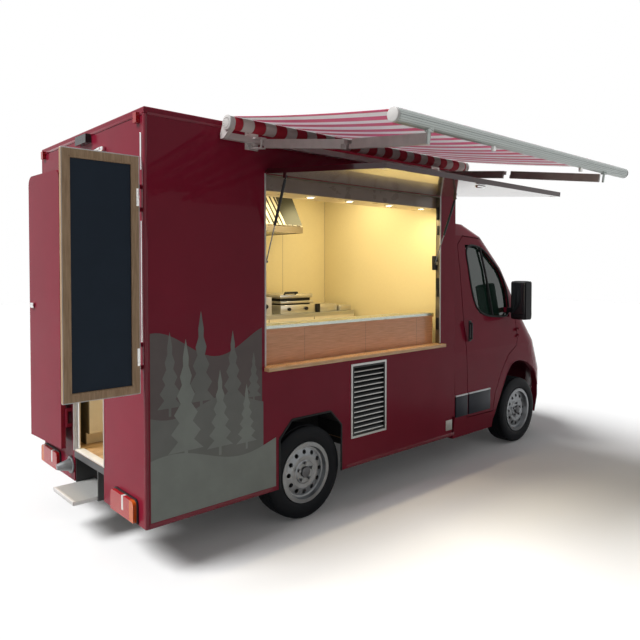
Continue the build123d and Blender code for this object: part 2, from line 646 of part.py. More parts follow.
def unit_run(side, front, back):
    """A run of base cupboards with a steel worktop, on one side of the aisle."""
    lift = FLOOR_TOP_Z
    a, b = sorted((side * front, side * back))
    run = block(UNIT_X0, UNIT_X1, a, b, lift, UNIT_TOP_Z)
    p0, p1 = sorted((side * front, side * (front + PLINTH)))
    run -= block(UNIT_X0 - 1, UNIT_X1 + 1, p0, p1, lift, lift + 90)
    clear = WELL_WALL + SEAT_GAP
    c0, c1 = sorted((side * (WELL_INNER_Y - clear), side * (back + 1)))
    run -= block(REAR_AXLE_X - WELL_HALF - clear, REAR_AXLE_X + WELL_HALF + clear, c0, c1,
                 lift - 1, WELL_TOP_Z + clear)
    doors = 5
    width = (UNIT_X1 - UNIT_X0) / doors
    g0, g1 = sorted((side * front, side * (front + 8)))
    for i in range(1, doors):
        x = UNIT_X0 + i * width
        run -= block(x - 3, x + 3, g0, g1, lift + 90, UNIT_TOP_Z - 50)
    return one(run)


right_back = BOX_HALF_WIDTH - COUNTER_RECESS - COUNTER_PANEL - 120
save("kitchen_units", unit_run(1, UNIT_FRONT_Y, IN_HALF), unit_run(-1, UNIT_FRONT_Y + 20, right_back))

GRIDDLE_X0 = 1180
GRIDDLE_X1 = 1880
griddle = block(GRIDDLE_X0, GRIDDLE_X1, UNIT_FRONT_Y + 30, IN_HALF - 60, UNIT_TOP_Z, UNIT_TOP_Z + 170)
griddle -= block(GRIDDLE_X0 + 25, GRIDDLE_X1 - 25, UNIT_FRONT_Y + 90, IN_HALF - 90,
                 UNIT_TOP_Z + 130, UNIT_TOP_Z + 171)
griddle += block(GRIDDLE_X0, GRIDDLE_X1, IN_HALF - 90, IN_HALF - 60, UNIT_TOP_Z, UNIT_TOP_Z + 250)
save("griddle", one(griddle))

HOOD_X0 = 1060
HOOD_X1 = 2230
HOOD_Z0 = ROOF_IN_Z - 576
HOOD_Y0 = 270
HOOD_WALL = 4


def extractor_hood():
    """Canopy hood over the griddle, its duct through the roof and the cowl on top."""
    outer = [(HOOD_Y0, HOOD_Z0), (HOOD_Y0, HOOD_Z0 + 60), (HOOD_Y0 + 190, HOOD_Z0 + 400),
             (IN_HALF, HOOD_Z0 + 400), (IN_HALF, HOOD_Z0)]
    shell = prism_x(outer, HOOD_X0, HOOD_X1)
    t = HOOD_WALL
    hollow = [(HOOD_Y0 + t, HOOD_Z0 - 1), (HOOD_Y0 + t, HOOD_Z0 + 60), (HOOD_Y0 + 190 + t, HOOD_Z0 + 400 - t),
              (IN_HALF - t, HOOD_Z0 + 400 - t), (IN_HALF - t, HOOD_Z0 - 1)]
    shell -= prism_x(hollow, HOOD_X0 + t, HOOD_X1 - t)
    filters = 8
    width = (HOOD_X1 - HOOD_X0) / filters
    for i in range(1, filters):
        x = HOOD_X0 + i * width
        baffle = [(HOOD_Y0 + t / 2, HOOD_Z0 + 30), (IN_HALF - 2, HOOD_Z0 + 230),
                  (IN_HALF - 2, HOOD_Z0 + 262), (HOOD_Y0 + t / 2, HOOD_Z0 + 62)]
        shell += prism_x(baffle, x - 14, x + 14)
    duct = rod((DUCT_X, DUCT_Y, HOOD_Z0 + 398), (DUCT_X, DUCT_Y, BOX_TOP_Z + 60), DUCT_RADIUS)
    cowl = rod((DUCT_X, DUCT_Y, BOX_TOP_Z + 60), (DUCT_X, DUCT_Y, BOX_TOP_Z + 84), DUCT_RADIUS + 60)
    flange = rod((DUCT_X, DUCT_Y, BOX_TOP_Z), (DUCT_X, DUCT_Y, BOX_TOP_Z + 10), DUCT_RADIUS + 40)
    return one(shell + duct + cowl + flange)


save("extractor_hood", extractor_hood())


# Lamps on the box

def body_lamps():
    """Two tail lamps, two marker lamps and the small camera housing at the rear."""
    lamps = []
    for y0, y1 in ((107 - BOX_HALF_WIDTH, 438 - BOX_HALF_WIDTH), (BOX_HALF_WIDTH - 367, BOX_HALF_WIDTH - 17)):
        lamp = block(-34, 0, y0, y1, 310, 440)
        lamp = fillet(lamp.edges().filter_by(Axis.X).group_by(Axis.Z)[-1], 30)
        lamps.append(lamp)
    for y in (72 - BOX_HALF_WIDTH, BOX_HALF_WIDTH - 72):
        lamps.append(Pos(-12, y, BOX_TOP_Z - 61) * Box(24, 42, 60))
    lamps.append(Pos(-20, -20, BOX_TOP_Z - 71) * Box(40, 190, 60))
    return lamps


save("body_lamps", *body_lamps())


# Hatch flap and its gas struts

FLAP_CLOSE = 90 - FLAP_DROOP
STRUT_SEAT = 30


def flap_place(solid):
    """Swing a piece drawn hanging straight down from the hinge up to the open flap."""
    hinge = Pos(0, FLAP_AXIS_Y, FLAP_AXIS_Z)
    return hinge * Rot(-FLAP_CLOSE, 0, 0) * Pos(0, -FLAP_AXIS_Y, -FLAP_AXIS_Z) * solid


STRUT_PIN_RADIUS = 4
STRUT_PIN_Y = FLAP_AXIS_Y + FLAP_THICK / 2 + STRUT_SEAT - 12
STRUT_PIN_Z = FLAP_AXIS_Z - STRUT_FLAP_REACH


def hatch_flap():
    """The top-hung flap, drawn closed and then opened."""
    y0, y1 = FLAP_AXIS_Y - FLAP_THICK / 2, FLAP_AXIS_Y + FLAP_THICK / 2
    x0, x1 = HATCH_X0 - FLAP_LAP, HATCH_X1 + FLAP_LAP
    slab = block(x0, x1, y0, y1, FLAP_AXIS_Z - FLAP_LENGTH, FLAP_AXIS_Z - 12)
    barrel = rod((x0, FLAP_AXIS_Y, FLAP_AXIS_Z), (x1, FLAP_AXIS_Y, FLAP_AXIS_Z), FLAP_BARREL_RADIUS)
    leaf = block(x0, x1, FLAP_AXIS_Y - 4, FLAP_AXIS_Y + 4, FLAP_AXIS_Z - 14, FLAP_AXIS_Z)
    solid = slab + barrel + leaf
    for x in STRUT_X:
        pin = (STRUT_PIN_Y, STRUT_PIN_Z)
        solid += block(x - 14, x - 8, y1 - 1, y1 + STRUT_SEAT, STRUT_PIN_Z - 14, STRUT_PIN_Z + 14)
        solid += rod((x - 9, *pin), (x + 9, *pin), STRUT_PIN_RADIUS)
    return flap_place(one(solid))


def turned(y, z, angle):
    """A point swung about the flap's hinge, degrees about +X."""
    a = radians(angle)
    dy, dz = y - FLAP_AXIS_Y, z - FLAP_AXIS_Z
    return (FLAP_AXIS_Y + dy * cos(a) - dz * sin(a), FLAP_AXIS_Z + dy * sin(a) + dz * cos(a))


STRUT_TOP = turned(STRUT_PIN_Y, STRUT_PIN_Z, -FLAP_CLOSE)
STRUT_OPEN = hypot(STRUT_TOP[0] - STRUT_BOTTOM[0], STRUT_TOP[1] - STRUT_BOTTOM[1])
STRUT_SHUT = hypot(STRUT_PIN_Y - STRUT_BOTTOM[0], STRUT_PIN_Z - STRUT_BOTTOM[1])


STRUT_EYE_RADIUS = 9
STRUT_NECK_RADIUS = 6
STRUT_BORE_START = 60


def along(distance):
    """A point on the strut's line at rest, from the flap's pin towards the jamb's."""
    share = distance / STRUT_OPEN
    return tuple(a + share * (b - a) for a, b in zip(STRUT_TOP, STRUT_BOTTOM))


def strut_eye(x, place):
    """A bored eye across the strut."""
    eye = rod((x - STRUT_EYE_HALF, *place), (x + STRUT_EYE_HALF, *place), STRUT_EYE_RADIUS)
    return eye, rod((x - 10, *place), (x + 10, *place), STRUT_PIN_RADIUS + PIN_GAP)


def gas_strut(x):
    """The cylinder, hinged on the flap."""
    length = STRUT_OPEN * STRUT_BODY_SHARE
    eye, bore = strut_eye(x, STRUT_TOP)
    neck = rod((x, *STRUT_TOP), (x, *along(24)), STRUT_NECK_RADIUS)
    solid = rod((x, *along(20)), (x, *along(length)), STRUT_BODY_RADIUS) + neck + eye - bore
    solid -= rod((x, *along(STRUT_BORE_START)), (x, *along(length + 5)), STRUT_ROD_RADIUS + PIN_GAP)
    return one(solid)


def strut_rod(x):
    """The rod with its eye at the jamb."""
    stroke = STRUT_OPEN - STRUT_SHUT
    eye, bore = strut_eye(x, STRUT_BOTTOM)
    shaft = rod((x, *along(STRUT_BORE_START + stroke + 15)), (x, *STRUT_BOTTOM), STRUT_ROD_RADIUS)
    return one(shaft + eye - bore)


save("hatch_flap", hatch_flap())
for name, x in zip(("rear", "front"), STRUT_X):
    save(f"gas_strut_{name}", gas_strut(x))
    save(f"strut_rod_{name}", strut_rod(x))


# Rear door, menu board, step and steadies

def rear_door():
    """The door drawn shut over the doorway, then swung open against the wall."""
    x0 = -DOOR_THICK - RUN_GAP
    y0, y1 = DOORWAY_Y0 - DOOR_LAP, DOORWAY_Y1 + DOOR_LAP
    door = block(x0, -RUN_GAP, y0, y1, FLOOR_TOP_Z + 14, DOORWAY_TOP_Z + 40)
    door = fillet(door.edges().filter_by(Axis.X).group_by(Axis.Z)[-1], 70)
    for z in DOOR_BARREL_Z:
        z0, z1 = z - DOOR_BARREL_HALF, z + DOOR_BARREL_HALF
        door += block(x0 - 2, x0 + 8, y1 - 20, DOOR_AXIS_Y, z0, z1)
        door += rod((DOOR_AXIS_X, DOOR_AXIS_Y, z0), (DOOR_AXIS_X, DOOR_AXIS_Y, z1), DOOR_BARREL_RADIUS)
    axis = Pos(DOOR_AXIS_X, DOOR_AXIS_Y, 0)
    return axis * Rot(0, 0, -DOOR_OPEN) * Pos(-DOOR_AXIS_X, -DOOR_AXIS_Y, 0) * one(door)


save("rear_door", rear_door())

board = block(BOARD_AXIS_X - BOARD_WIDTH, BOARD_AXIS_X - 8, BOARD_AXIS_Y - BOARD_THICK, BOARD_AXIS_Y - 1,
              BOARD_Z0, BOARD_Z1)
slate = (BOARD_AXIS_X - BOARD_WIDTH + BOARD_FRAME, BOARD_AXIS_X - 8 - BOARD_FRAME)
for y in (BOARD_AXIS_Y - BOARD_THICK - 1, BOARD_AXIS_Y - 8):
    y0, y1 = y, y + 8
    board -= block(slate[0], slate[1], y0, y1, BOARD_Z0 + BOARD_FRAME, BOARD_Z1 - BOARD_FRAME)
for z in BOARD_BARREL_Z:
    z0, z1 = z - BOARD_BARREL_HALF, z + BOARD_BARREL_HALF
    board += rod((BOARD_AXIS_X, BOARD_AXIS_Y, z0), (BOARD_AXIS_X, BOARD_AXIS_Y, z1), BOARD_BARREL_RADIUS)
    board += block(BOARD_AXIS_X - 30, BOARD_AXIS_X, BOARD_AXIS_Y - 3, BOARD_AXIS_Y + 1, z0, z1)
save("menu_board", one(board))

step = block(-STEP_OUT, STEP_DEPTH - STEP_OUT, STEP_Y0, STEP_Y1, STEP_Z1 - STEP_THICK, STEP_Z1)
step = fillet(step.edges().filter_by(Axis.Z).group_by(Axis.X)[0], 16)
save("entry_step", step)


def steady(x, side):
    """A leg folded up under the body, hinged at its forward end."""
    y = side * STEADY_Y
    leg = block(x, x + STEADY_LENGTH, y - 18, y + 18, STEADY_PIN_Z - 16, STEADY_PIN_Z + 10)
    foot = rod((x + STEADY_LENGTH - 8, y, STEADY_PIN_Z), (x + STEADY_LENGTH + 8, y, STEADY_PIN_Z), 34)
    knuckle_bar = rod((x, y - 40, STEADY_PIN_Z), (x, y + 40, STEADY_PIN_Z), STEADY_PIN_RADIUS)
    return one(leg + foot + knuckle_bar)


for end, x in zip(("rear", "front"), STEADY_X):
    for name, side in (("right", -1), ("left", 1)):
        save(f"steady_{end}_{name}", steady(x, side))


# Awning

ARM_DROP = (SHOULDER_Z - WRIST_Z) / (SHOULDER_Y - BAR_Y)
ARM_TILT = degrees(atan(ARM_DROP))
ARM_REACH = hypot(SHOULDER_Y - BAR_Y, SHOULDER_Z - WRIST_Z)
ARM_SPLAY = degrees(asin(sqrt(ARM_LENGTH ** 2 - (ARM_REACH / 2) ** 2) / ARM_LENGTH))


def arm_place(solid, x):
    """Move a piece drawn flat, from the shoulder out along -Y, into the arms' sloping plane."""
    return Pos(x, SHOULDER_Y, SHOULDER_Z) * Rot(ARM_TILT, 0, 0) * solid


EYE_RADIUS = 22
EYE_PIN = 8
ARM_SHIFT = ARM_WIDTH / 2 + 3
HALF_EYE = ARM_HEIGHT / 2
FORK_GAP = 0.3
FORK_PLATE = 8
SIDES = (("rear", SHOULDER_X[0], 1), ("front", SHOULDER_X[1], -1))


def awning_link(toward):
    """A flat arm along -Y: an eye at each end, its bar offset so that two can fold together."""
    shift = toward * ARM_SHIFT
    bar = block(shift - ARM_WIDTH / 2, shift + ARM_WIDTH / 2, -ARM_LENGTH + 22, -22, -HALF_EYE, HALF_EYE)
    for y in (0, -ARM_LENGTH):
        bar += Pos(0, y, 0) * Cylinder(EYE_RADIUS, ARM_HEIGHT)
        bar += block(min(0, shift), max(0, shift), y - 18, y + 18, -HALF_EYE, HALF_EYE)
    return bar


def eye_hole(y):
    """The bore of an eye at y along an arm."""
    return Pos(0, y, 0) * Cylinder(EYE_PIN + PIN_GAP, ARM_HEIGHT + 20)


def upper_arm(toward):
    """Shoulder to elbow: its elbow end is the upper half of the joint, with the pin."""
    arm = awning_link(toward) - eye_hole(0)
    arm -= Pos(0, -ARM_LENGTH, -HALF_EYE / 2) * Cylinder(EYE_RADIUS + 22, HALF_EYE + FORK_GAP)
    arm += Pos(0, -ARM_LENGTH, 0) * Cylinder(EYE_PIN, ARM_HEIGHT)
    return Rot(0, 0, toward * ARM_SPLAY) * one(arm)


def forearm(toward):
    """Elbow to wrist: its elbow end is the lower half of the joint."""
    arm = awning_link(toward) - eye_hole(0) - eye_hole(-ARM_LENGTH)
    arm -= Pos(0, 0, HALF_EYE / 2) * Cylinder(EYE_RADIUS + 22, HALF_EYE + FORK_GAP)
    elbow = Rot(0, 0, toward * ARM_SPLAY) * Pos(0, -ARM_LENGTH, 0) * Rot(0, 0, -2 * toward * ARM_SPLAY)
    return elbow * one(arm)


def fork(reach):
    """Two plates over and under an arm's eye, their pin and the web behind them."""
    high = HALF_EYE + FORK_GAP
    solid = Cylinder(EYE_PIN, 2 * high + FORK_PLATE)
    for z0, z1 in ((high, high + FORK_PLATE), (-high - FORK_PLATE, -high)):
        solid += block(-EYE_RADIUS, EYE_RADIUS, -EYE_RADIUS, reach, z0, z1)
    solid += block(-EYE_RADIUS, EYE_RADIUS, reach - 14, reach, -high - FORK_PLATE, high + FORK_PLATE)
    return solid


for name, x, toward in SIDES:
    save(f"awning_upper_arm_{name}", arm_place(upper_arm(toward), x))
    save(f"awning_forearm_{name}", arm_place(forearm(toward), x))

TUBE_Y = -BOX_HALF_WIDTH - 34
TUBE_Z = BOX_TOP_Z - 104
TUBE_HALF = 20


def awning_roller():
    """Roller with the rolled cloth, end plates, square tube and the shoulder forks."""
    roll = rod((AWNING_X0 + 30, ROLL_Y, ROLL_Z), (AWNING_X1 - 30, ROLL_Y, ROLL_Z), ROLL_RADIUS)
    tube = block(AWNING_X0, AWNING_X1, TUBE_Y - TUBE_HALF, TUBE_Y + TUBE_HALF,
                 TUBE_Z - TUBE_HALF, TUBE_Z + TUBE_HALF)
    solid = roll + tube
    inset = TUBE_HALF - 2
    for x in (AWNING_X0 + 15, AWNING_X1 - 15):
        plate = [(ROLL_Y - 34, ROLL_Z - 40), (ROLL_Y - 34, ROLL_Z + 34), (ROLL_Y + 40, ROLL_Z + 40)]
        plate += [(TUBE_Y + inset, TUBE_Z + inset), (TUBE_Y + inset, TUBE_Z - inset),
                  (TUBE_Y - inset, TUBE_Z - inset)]
        solid += prism_x(plate, x - 15, x + 15.5)
    for x in SHOULDER_X:
        solid += block(x - 50, x + 50, TUBE_Y + TUBE_HALF - 1, -BOX_HALF_WIDTH, TUBE_Z - 60, TUBE_Z + 60)
        solid += arm_place(fork(SHOULDER_Y * -1 + TUBE_Y + 4), x)
    return one(solid)


save("awning_roller", awning_roller())


def front_bar():
    """The extruded front tube, with a pin and hanger at each wrist."""
    x0, x1 = AWNING_X0, AWNING_X1 + 30
    bar = rod((x0, BAR_Y, BAR_Z), (x1, BAR_Y, BAR_Z), BAR_HALF)
    bar -= rod((x0 - 1, BAR_Y, BAR_Z), (x1 + 1, BAR_Y, BAR_Z), BAR_HALF - BAR_WALL)
    for x in SHOULDER_X:
        wrist = Pos(x, BAR_Y, WRIST_Z) * Rot(ARM_TILT, 0, 0)
        bar += wrist * Pos(0, 0, 12) * Cylinder(EYE_PIN, 2 * HALF_EYE + 24)
        bar += wrist * Pos(0, 0, HALF_EYE + FORK_GAP + 12) * Cylinder(EYE_RADIUS, 24)
    return one(bar)


save("awning_front_bar", front_bar())

CLOTH_THICK = 4
CLOTH_INSET = 40


def awning_cloth():
    """The stretched cloth from the top of the roll to the top of the front bar."""
    y0, z0 = ROLL_Y - 6, ROLL_Z + ROLL_RADIUS + SEAT_GAP
    y1, z1 = BAR_Y, BAR_Z + BAR_HALF + SEAT_GAP
    points = [(y0, z0), (y1, z1), (y1, z1 + CLOTH_THICK), (y0, z0 + CLOTH_THICK)]
    return prism_x(points, AWNING_X0 + CLOTH_INSET, AWNING_X1 - CLOTH_INSET)


save("awning_cloth", awning_cloth())


# Cab

# Plan sections of the cab from the sill to the roof: height, half width, then from the front
# axle the nose, where the side starts to turn in and where the front curve begins
CAB_SECTIONS = [
    # z, half width, nose x, turn x, corner x, corner y
    (250, 872, 833, 213, 693, 600),
    (430, 893, 898, 213, 743, 606),
    (730, 895, NOSE_AHEAD, 213, 745, 606),
    (860, 893, 823, 193, 673, 600),
    (1060, 885, 713, 153, 563, 596),
    (1310, 852, 453, 13, 313, 620),
    (1860, 800, 23, -327, -87, 610),
    (2180, 742, -267, -627, -387, 580),
    (2300, 670, -487, -837, -587, 500),
    (2345, 520, -687, -987, -787, 380),
]
BELT_Z = 1060
BEYOND_X = REACH_FRONT + 110
BEYOND_Y = 1000


def cab_outline(z, half, nose, turn, corner_x, corner_y):
    """One closed plan section at height z, back to the cab's rear edge."""
    rear = CAB_REAR_X
    left = TangentArc((turn, half, z), (corner_x, corner_y, z), tangent=(1, 0, 0))
    right = TangentArc((turn, -half, z), (corner_x, -corner_y, z), tangent=(1, 0, 0))
    front = ThreePointArc((corner_x, corner_y, z), (nose, 0, z), (corner_x, -corner_y, z))
    side_left = Line((rear, half, z), (turn, half, z))
    side_right = Line((turn, -half, z), (rear, -half, z))
    back = Line((rear, -half, z), (rear, half, z))
    return make_face([side_left, left, front, right, side_right, back])


def cab_form(inset=0, roof_inset=0):
    """The cab's outside, or its inside when drawn smaller by the wall."""
    sections = []
    corner_inset = inset * 0.7
    for z, half, nose, turn, corner_x, corner_y in CAB_SECTIONS:
        level = z - roof_inset if z > BELT_Z else z
        if inset and z == CAB_SECTIONS[0][0]:
            level = z - 1
        sections.append(cab_outline(
            level, half - inset, FRONT_AXLE_X + nose - inset, FRONT_AXLE_X + turn,
            FRONT_AXLE_X + corner_x - corner_inset, corner_y - corner_inset))
    return loft(sections, ruled=True)


# Outlines seen from the side, each point its distance ahead of the front axle and its height
DOOR_BACK = -969
DOOR_OUTLINE = [
    (DOOR_BACK, 430), (-527, 420), (-487, 600), (-372, 800), (-227, 960), (-72, 1040),
    (-DOOR_HINGE_BACK, 1120), (-DOOR_HINGE_BACK, 1420), (-87, 1640), (-202, 1835), (-497, 2150), (-847, 2175),
    (DOOR_BACK + 20, 2090), (DOOR_BACK, 1900),
]
WINDOW_OUTLINE = [
    (-832, 2095), (-547, 2078), (-257, 1822), (-157, 1620), (-147, 1350), (-487, 1368), (-697, 1412),
    (-787, 1545), (-832, 1850),
]
FRONT_ARCH = [
    (-517, 200), (-502, 345), (-327, 680), (-197, 860), (-37, 897), (163, 850), (353, 720), (443, 560),
    (443, 200),
]
SCREEN_Z0 = 1410
SCREEN_Z1 = 2200
SCREEN_HALF = 640
SCREEN_OUTLINE = [(243, SCREEN_Z0), (-327, 2120), (-457, SCREEN_Z1), (613, SCREEN_Z1), (613, SCREEN_Z0)]
BONNET_Z0 = 985
BONNET_Z1 = 1335
BONNET_HALF = 640
GLASS_IN = 20
GLASS_DOWN = 14


def outline_prism(points, amount, y0, y1):
    """A side outline, offset by amount and extruded across."""
    flat = make_face(Polyline([(FRONT_AXLE_X + x, z, 0) for x, z in points], close=True))
    if amount:
        flat = offset(flat, amount=amount, kind=Kind.INTERSECTION)
    solid = extrude(flat, amount=y1 - y0)
    return Pos(0, y1, 0) * Rot(90, 0, 0) * solid


OUTER = cab_form()
INNER = cab_form(CAB_WALL, CAB_ROOF_WALL)
GLASS_FORM = cab_form(GLASS_IN, GLASS_DOWN) - cab_form(GLASS_IN + GLASS, GLASS_DOWN + GLASS)
SKIN = OUTER - INNER
DOOR_SPAN = 350


def one_side(side):
    """The span across which a door, its glass and its wing lie."""
    return sorted((side * DOOR_SPAN, side * BEYOND_Y))


DOOR_HINGE_Z = (1130, 1196)
DOOR_KNUCKLE = 15
LEAF_HALF = 3
LEAF_LENGTH = 34


def door_knuckle(side, z, toward):
    """One knuckle of a cab door hinge and its leaf; toward is -1 for the door, 1 for the wing."""
    x = DOOR_HINGE_X + PANEL_GAP / 2
    barrel = rod((x, side * DOOR_AXIS_HALF, z), (x, side * DOOR_AXIS_HALF, z + DOOR_KNUCKLE), HINGE_RADIUS)
    x0, x1 = sorted((x, x + toward * LEAF_LENGTH))
    y0, y1 = sorted((side * (DOOR_AXIS_HALF - LEAF_HALF), side * (DOOR_AXIS_HALF + LEAF_HALF)))
    leaf = block(x0, x1, y0, y1, z, z + DOOR_KNUCKLE)
    x0, x1 = sorted((x + toward * 22, x + toward * LEAF_LENGTH))
    y0, y1 = sorted((side * (DOOR_AXIS_HALF - 50), side * (DOOR_AXIS_HALF + LEAF_HALF)))
    return barrel + leaf + block(x0, x1, y0, y1, z, z + DOOR_KNUCKLE)


def mirror_head():
    """The left door mirror: its arm on the door and its rounded head."""
    plan = [(-227, 830), (-127, 830), (-167, BEYOND_Y), (-247, BEYOND_Y)]
    arm = prism_z([(FRONT_AXLE_X + x, y) for x, y in plan], 1400, 1450)
    head = block(FRONT_AXLE_X - 247, FRONT_AXLE_X - 137, 925, 1095, 1335, 1725)
    return arm + fillet(head.edges().filter_by(Axis.Y), 28)


def cab_door(side):
    """Door with its window cut and its mirror on the front corner."""
    door = SKIN & outline_prism(DOOR_OUTLINE, 0, *one_side(side))
    door -= outline_prism(WINDOW_OUTLINE, 0, *one_side(side))
    door = one(door)
    door += mirror_head() if side > 0 else mirrored(mirror_head())
    for z in DOOR_HINGE_Z:
        door += door_knuckle(side, z, -1)
    return one(door)


def door_glass(side):
    """The pane, seated in the door's window."""
    return one(GLASS_FORM & outline_prism(WINDOW_OUTLINE, -SEAT_GAP, *one_side(side)))


BUMPER_Z1 = 790
BUMPER_X0 = FRONT_AXLE_X + 320
BONNET_BACK_X = FRONT_AXLE_X + 163


def bonnet_cut(grow):
    """The space above the nose that the bonnet takes from the skin."""
    half = BONNET_HALF + grow
    return block(BONNET_BACK_X, BEYOND_X, -half, half, BONNET_Z0 - grow, BONNET_Z1 + grow)


LAMP_Z0 = 800
LAMP_Z1 = 1060
LAMP_OUTLINE = [(453, LAMP_Z0), (403, 960), (453, LAMP_Z1), (913, LAMP_Z1), (913, LAMP_Z0)]
LAMP_INNER_Y = 530


def lamp_cut(side, grow):
    """The space of one headlamp at the nose's corner."""
    y0, y1 = sorted((side * (LAMP_INNER_Y - grow), side * BEYOND_Y))
    space = outline_prism(LAMP_OUTLINE, grow, y0, y1)
    return space - bonnet_cut(PANEL_GAP - grow)


ARCH_INNER_Y = 450
CAB_PLATE = 10
CAB_HALF = 895
GRILLE_BACK_X = FRONT_AXLE_X + 513
FIRE_WALL_X = FRONT_AXLE_X + 43
FIRE_WALL_THICK = 20
FIRE_WALL_Z1 = 1325
WING_X0 = FRONT_AXLE_X - 527
WING_X1 = FRONT_AXLE_X + 353
BONNET_PIN_Y = 560
BONNET_PIN_HALF = 17


def bonnet_knuckle(y, reach):
    """One knuckle of a bonnet hinge, with its arm towards the bonnet or the cowl."""
    half = BONNET_PIN_HALF / 2 - SEAT_GAP / 2
    x, z = BONNET_HINGE_X, BONNET_HINGE_Z
    barrel = rod((x, y - half, z), (x, y + half, z), HINGE_RADIUS)
    x0, x1 = sorted((x, x + reach))
    return barrel + block(x0, x1, y - half, y + half, z - HINGE_RADIUS, z + HINGE_RADIUS - 2)


def cab_shell():
    """Cab body: roof, pillars, sills, wings, floor, fire wall and inner arches."""
    shell = SKIN
    for side in (-1, 1):
        shell -= outline_prism(DOOR_OUTLINE, PANEL_GAP, *one_side(side))
        shell -= outline_prism(FRONT_ARCH, 0, *one_side(side))
        shell -= lamp_cut(side, SEAT_GAP)
    shell -= outline_prism(SCREEN_OUTLINE, 0, -SCREEN_HALF, SCREEN_HALF)
    shell -= bonnet_cut(PANEL_GAP)
    cowl = block(BONNET_BACK_X, BEYOND_X, -BONNET_HALF, BONNET_HALF, BONNET_Z1, SCREEN_Z0 + 1)
    shell -= cowl - cab_form(COWL_RECESS, COWL_RECESS)
    shell -= block(BUMPER_X0 - SEAT_GAP, BEYOND_X, -BEYOND_Y, BEYOND_Y, 0, BUMPER_Z1 + SEAT_GAP)
    shell -= block(GRILLE_BACK_X, BEYOND_X, -LAMP_INNER_Y, LAMP_INNER_Y, 0, BONNET_Z0)
    shell = one(shell)
    floor_z0 = CAB_FLOOR_Z - CAB_FLOOR_THICK
    half = CAB_HALF - CAB_WALL + 1
    plate_z1 = ARCH_LINER_Z + CAB_PLATE
    floor = block(CAB_REAR_X, WING_X0, -half, half, floor_z0, CAB_FLOOR_Z)
    middle = block(WING_X0 - CAB_PLATE, FIRE_WALL_X, -ARCH_INNER_Y, ARCH_INNER_Y, floor_z0, CAB_FLOOR_Z)
    fire_x1 = FIRE_WALL_X + FIRE_WALL_THICK
    fire_wall = block(FIRE_WALL_X, fire_x1, -ARCH_INNER_Y, ARCH_INNER_Y, floor_z0, FIRE_WALL_Z1)
    fire_wall += block(FIRE_WALL_X, fire_x1, -half + 6, half - 6, ARCH_LINER_Z, FIRE_WALL_Z1)
    shell += floor + middle + (fire_wall & OUTER)
    for side in (-1, 1):
        a, b = sorted((side * ARCH_INNER_Y, side * (ARCH_INNER_Y - CAB_PLATE)))
        c, d = sorted((side * (ARCH_INNER_Y - CAB_PLATE), side * (half + 2)))
        shell += block(WING_X0, WING_X1, a, b, floor_z0, plate_z1)
        shell += block(WING_X0, WING_X1, c, d, ARCH_LINER_Z, plate_z1)
        shell += block(WING_X0 - CAB_PLATE, WING_X0, c, d, floor_z0, plate_z1)
    for side in (-1, 1):
        shell -= outline_prism(DOOR_OUTLINE, PANEL_GAP, *one_side(side))
        shell -= outline_prism(FRONT_ARCH, 0, *sorted((side * 850, side * BEYOND_Y)))
        for z in DOOR_HINGE_Z:
            shell += door_knuckle(side, z + DOOR_KNUCKLE + SEAT_GAP, 1)
        for y in (side * (BONNET_PIN_Y - BONNET_PIN_HALF), side * (BONNET_PIN_Y + BONNET_PIN_HALF)):
            shell += bonnet_knuckle(y, -84)
    return one(shell)


save("cab_shell", cab_shell())
for name, side in (("right", -1), ("left", 1)):
    save(f"cab_door_{name}", cab_door(side))
    save(f"door_glass_{name}", door_glass(side))

screen_half = SCREEN_HALF - SEAT_GAP
screen = GLASS_FORM & outline_prism(SCREEN_OUTLINE, -SEAT_GAP, -screen_half, screen_half)
save("windscreen", one(screen))

BONNET_THICK = 30


def bonnet():
    """The bonnet's skin with a knuckle and its arm at each hinge."""
    solid = one((OUTER - cab_form(BONNET_THICK, BONNET_THICK)) & bonnet_cut(0))
    half = BONNET_PIN_HALF / 2 - SEAT_GAP / 2
    x0, x1 = BONNET_HINGE_X - HINGE_RADIUS, BONNET_HINGE_X + 8
    for pin_y in (-BONNET_PIN_Y, BONNET_PIN_Y):
        solid += bonnet_knuckle(pin_y, 8)
        solid += block(x0, x1, pin_y - half, pin_y + half, BONNET_Z1 - 20, BONNET_HINGE_Z)
    return one(solid)


save("bonnet", bonnet())


def front_bumper():
    """Wrap-round bumper with its lower intake."""
    bumper = (OUTER & block(BUMPER_X0, BEYOND_X, -BEYOND_Y, BEYOND_Y, 200, BUMPER_Z1)) - INNER
    for side in (-1, 1):
        bumper -= outline_prism(FRONT_ARCH, 0, *sorted((side * 400, side * BEYOND_Y)))
    bumper -= block(FRONT_AXLE_X + 613, BEYOND_X, -420, 420, 340, 520)
    return one(bumper)


save("front_bumper", front_bumper())


def front_grille():
    """Bars between the bumper and the bonnet."""
    skin = OUTER - cab_form(40, 0)
    half = LAMP_INNER_Y - 2 * SEAT_GAP
    grille = skin & block(GRILLE_BACK_X, BEYOND_X, -half, half, BUMPER_Z1 + SEAT_GAP, BONNET_Z0 - PANEL_GAP)
    return one(grille)


save("front_grille", front_grille())

lamp_skin = OUTER - cab_form(CAB_WALL + 40, 0)
lamp_skin &= block(FRONT_AXLE_X + 313, BEYOND_X, -BEYOND_Y, BEYOND_Y, BUMPER_Z1 + 1, LAMP_Z1 + 40)
save("headlamps", *[one(lamp_skin & lamp_cut(side, 0)) for side in (-1, 1)])

# The seats' outlines, each point its distance ahead of the front axle and its height
SEAT_BACK = [(-907, 900), (-787, 960), (-957, 1560), (-1067, 1560)]
HEAD_REST = [(-1052, 1570), (-962, 1570), (-987, 1760), (-1072, 1760)]
SEAT_BASE_X = (FRONT_AXLE_X - 867, FRONT_AXLE_X - 487)
CUSHION_X = (FRONT_AXLE_X - 907, FRONT_AXLE_X - 407)
SEAT_BASE_HIGH = 230
CUSHION_HIGH = 130


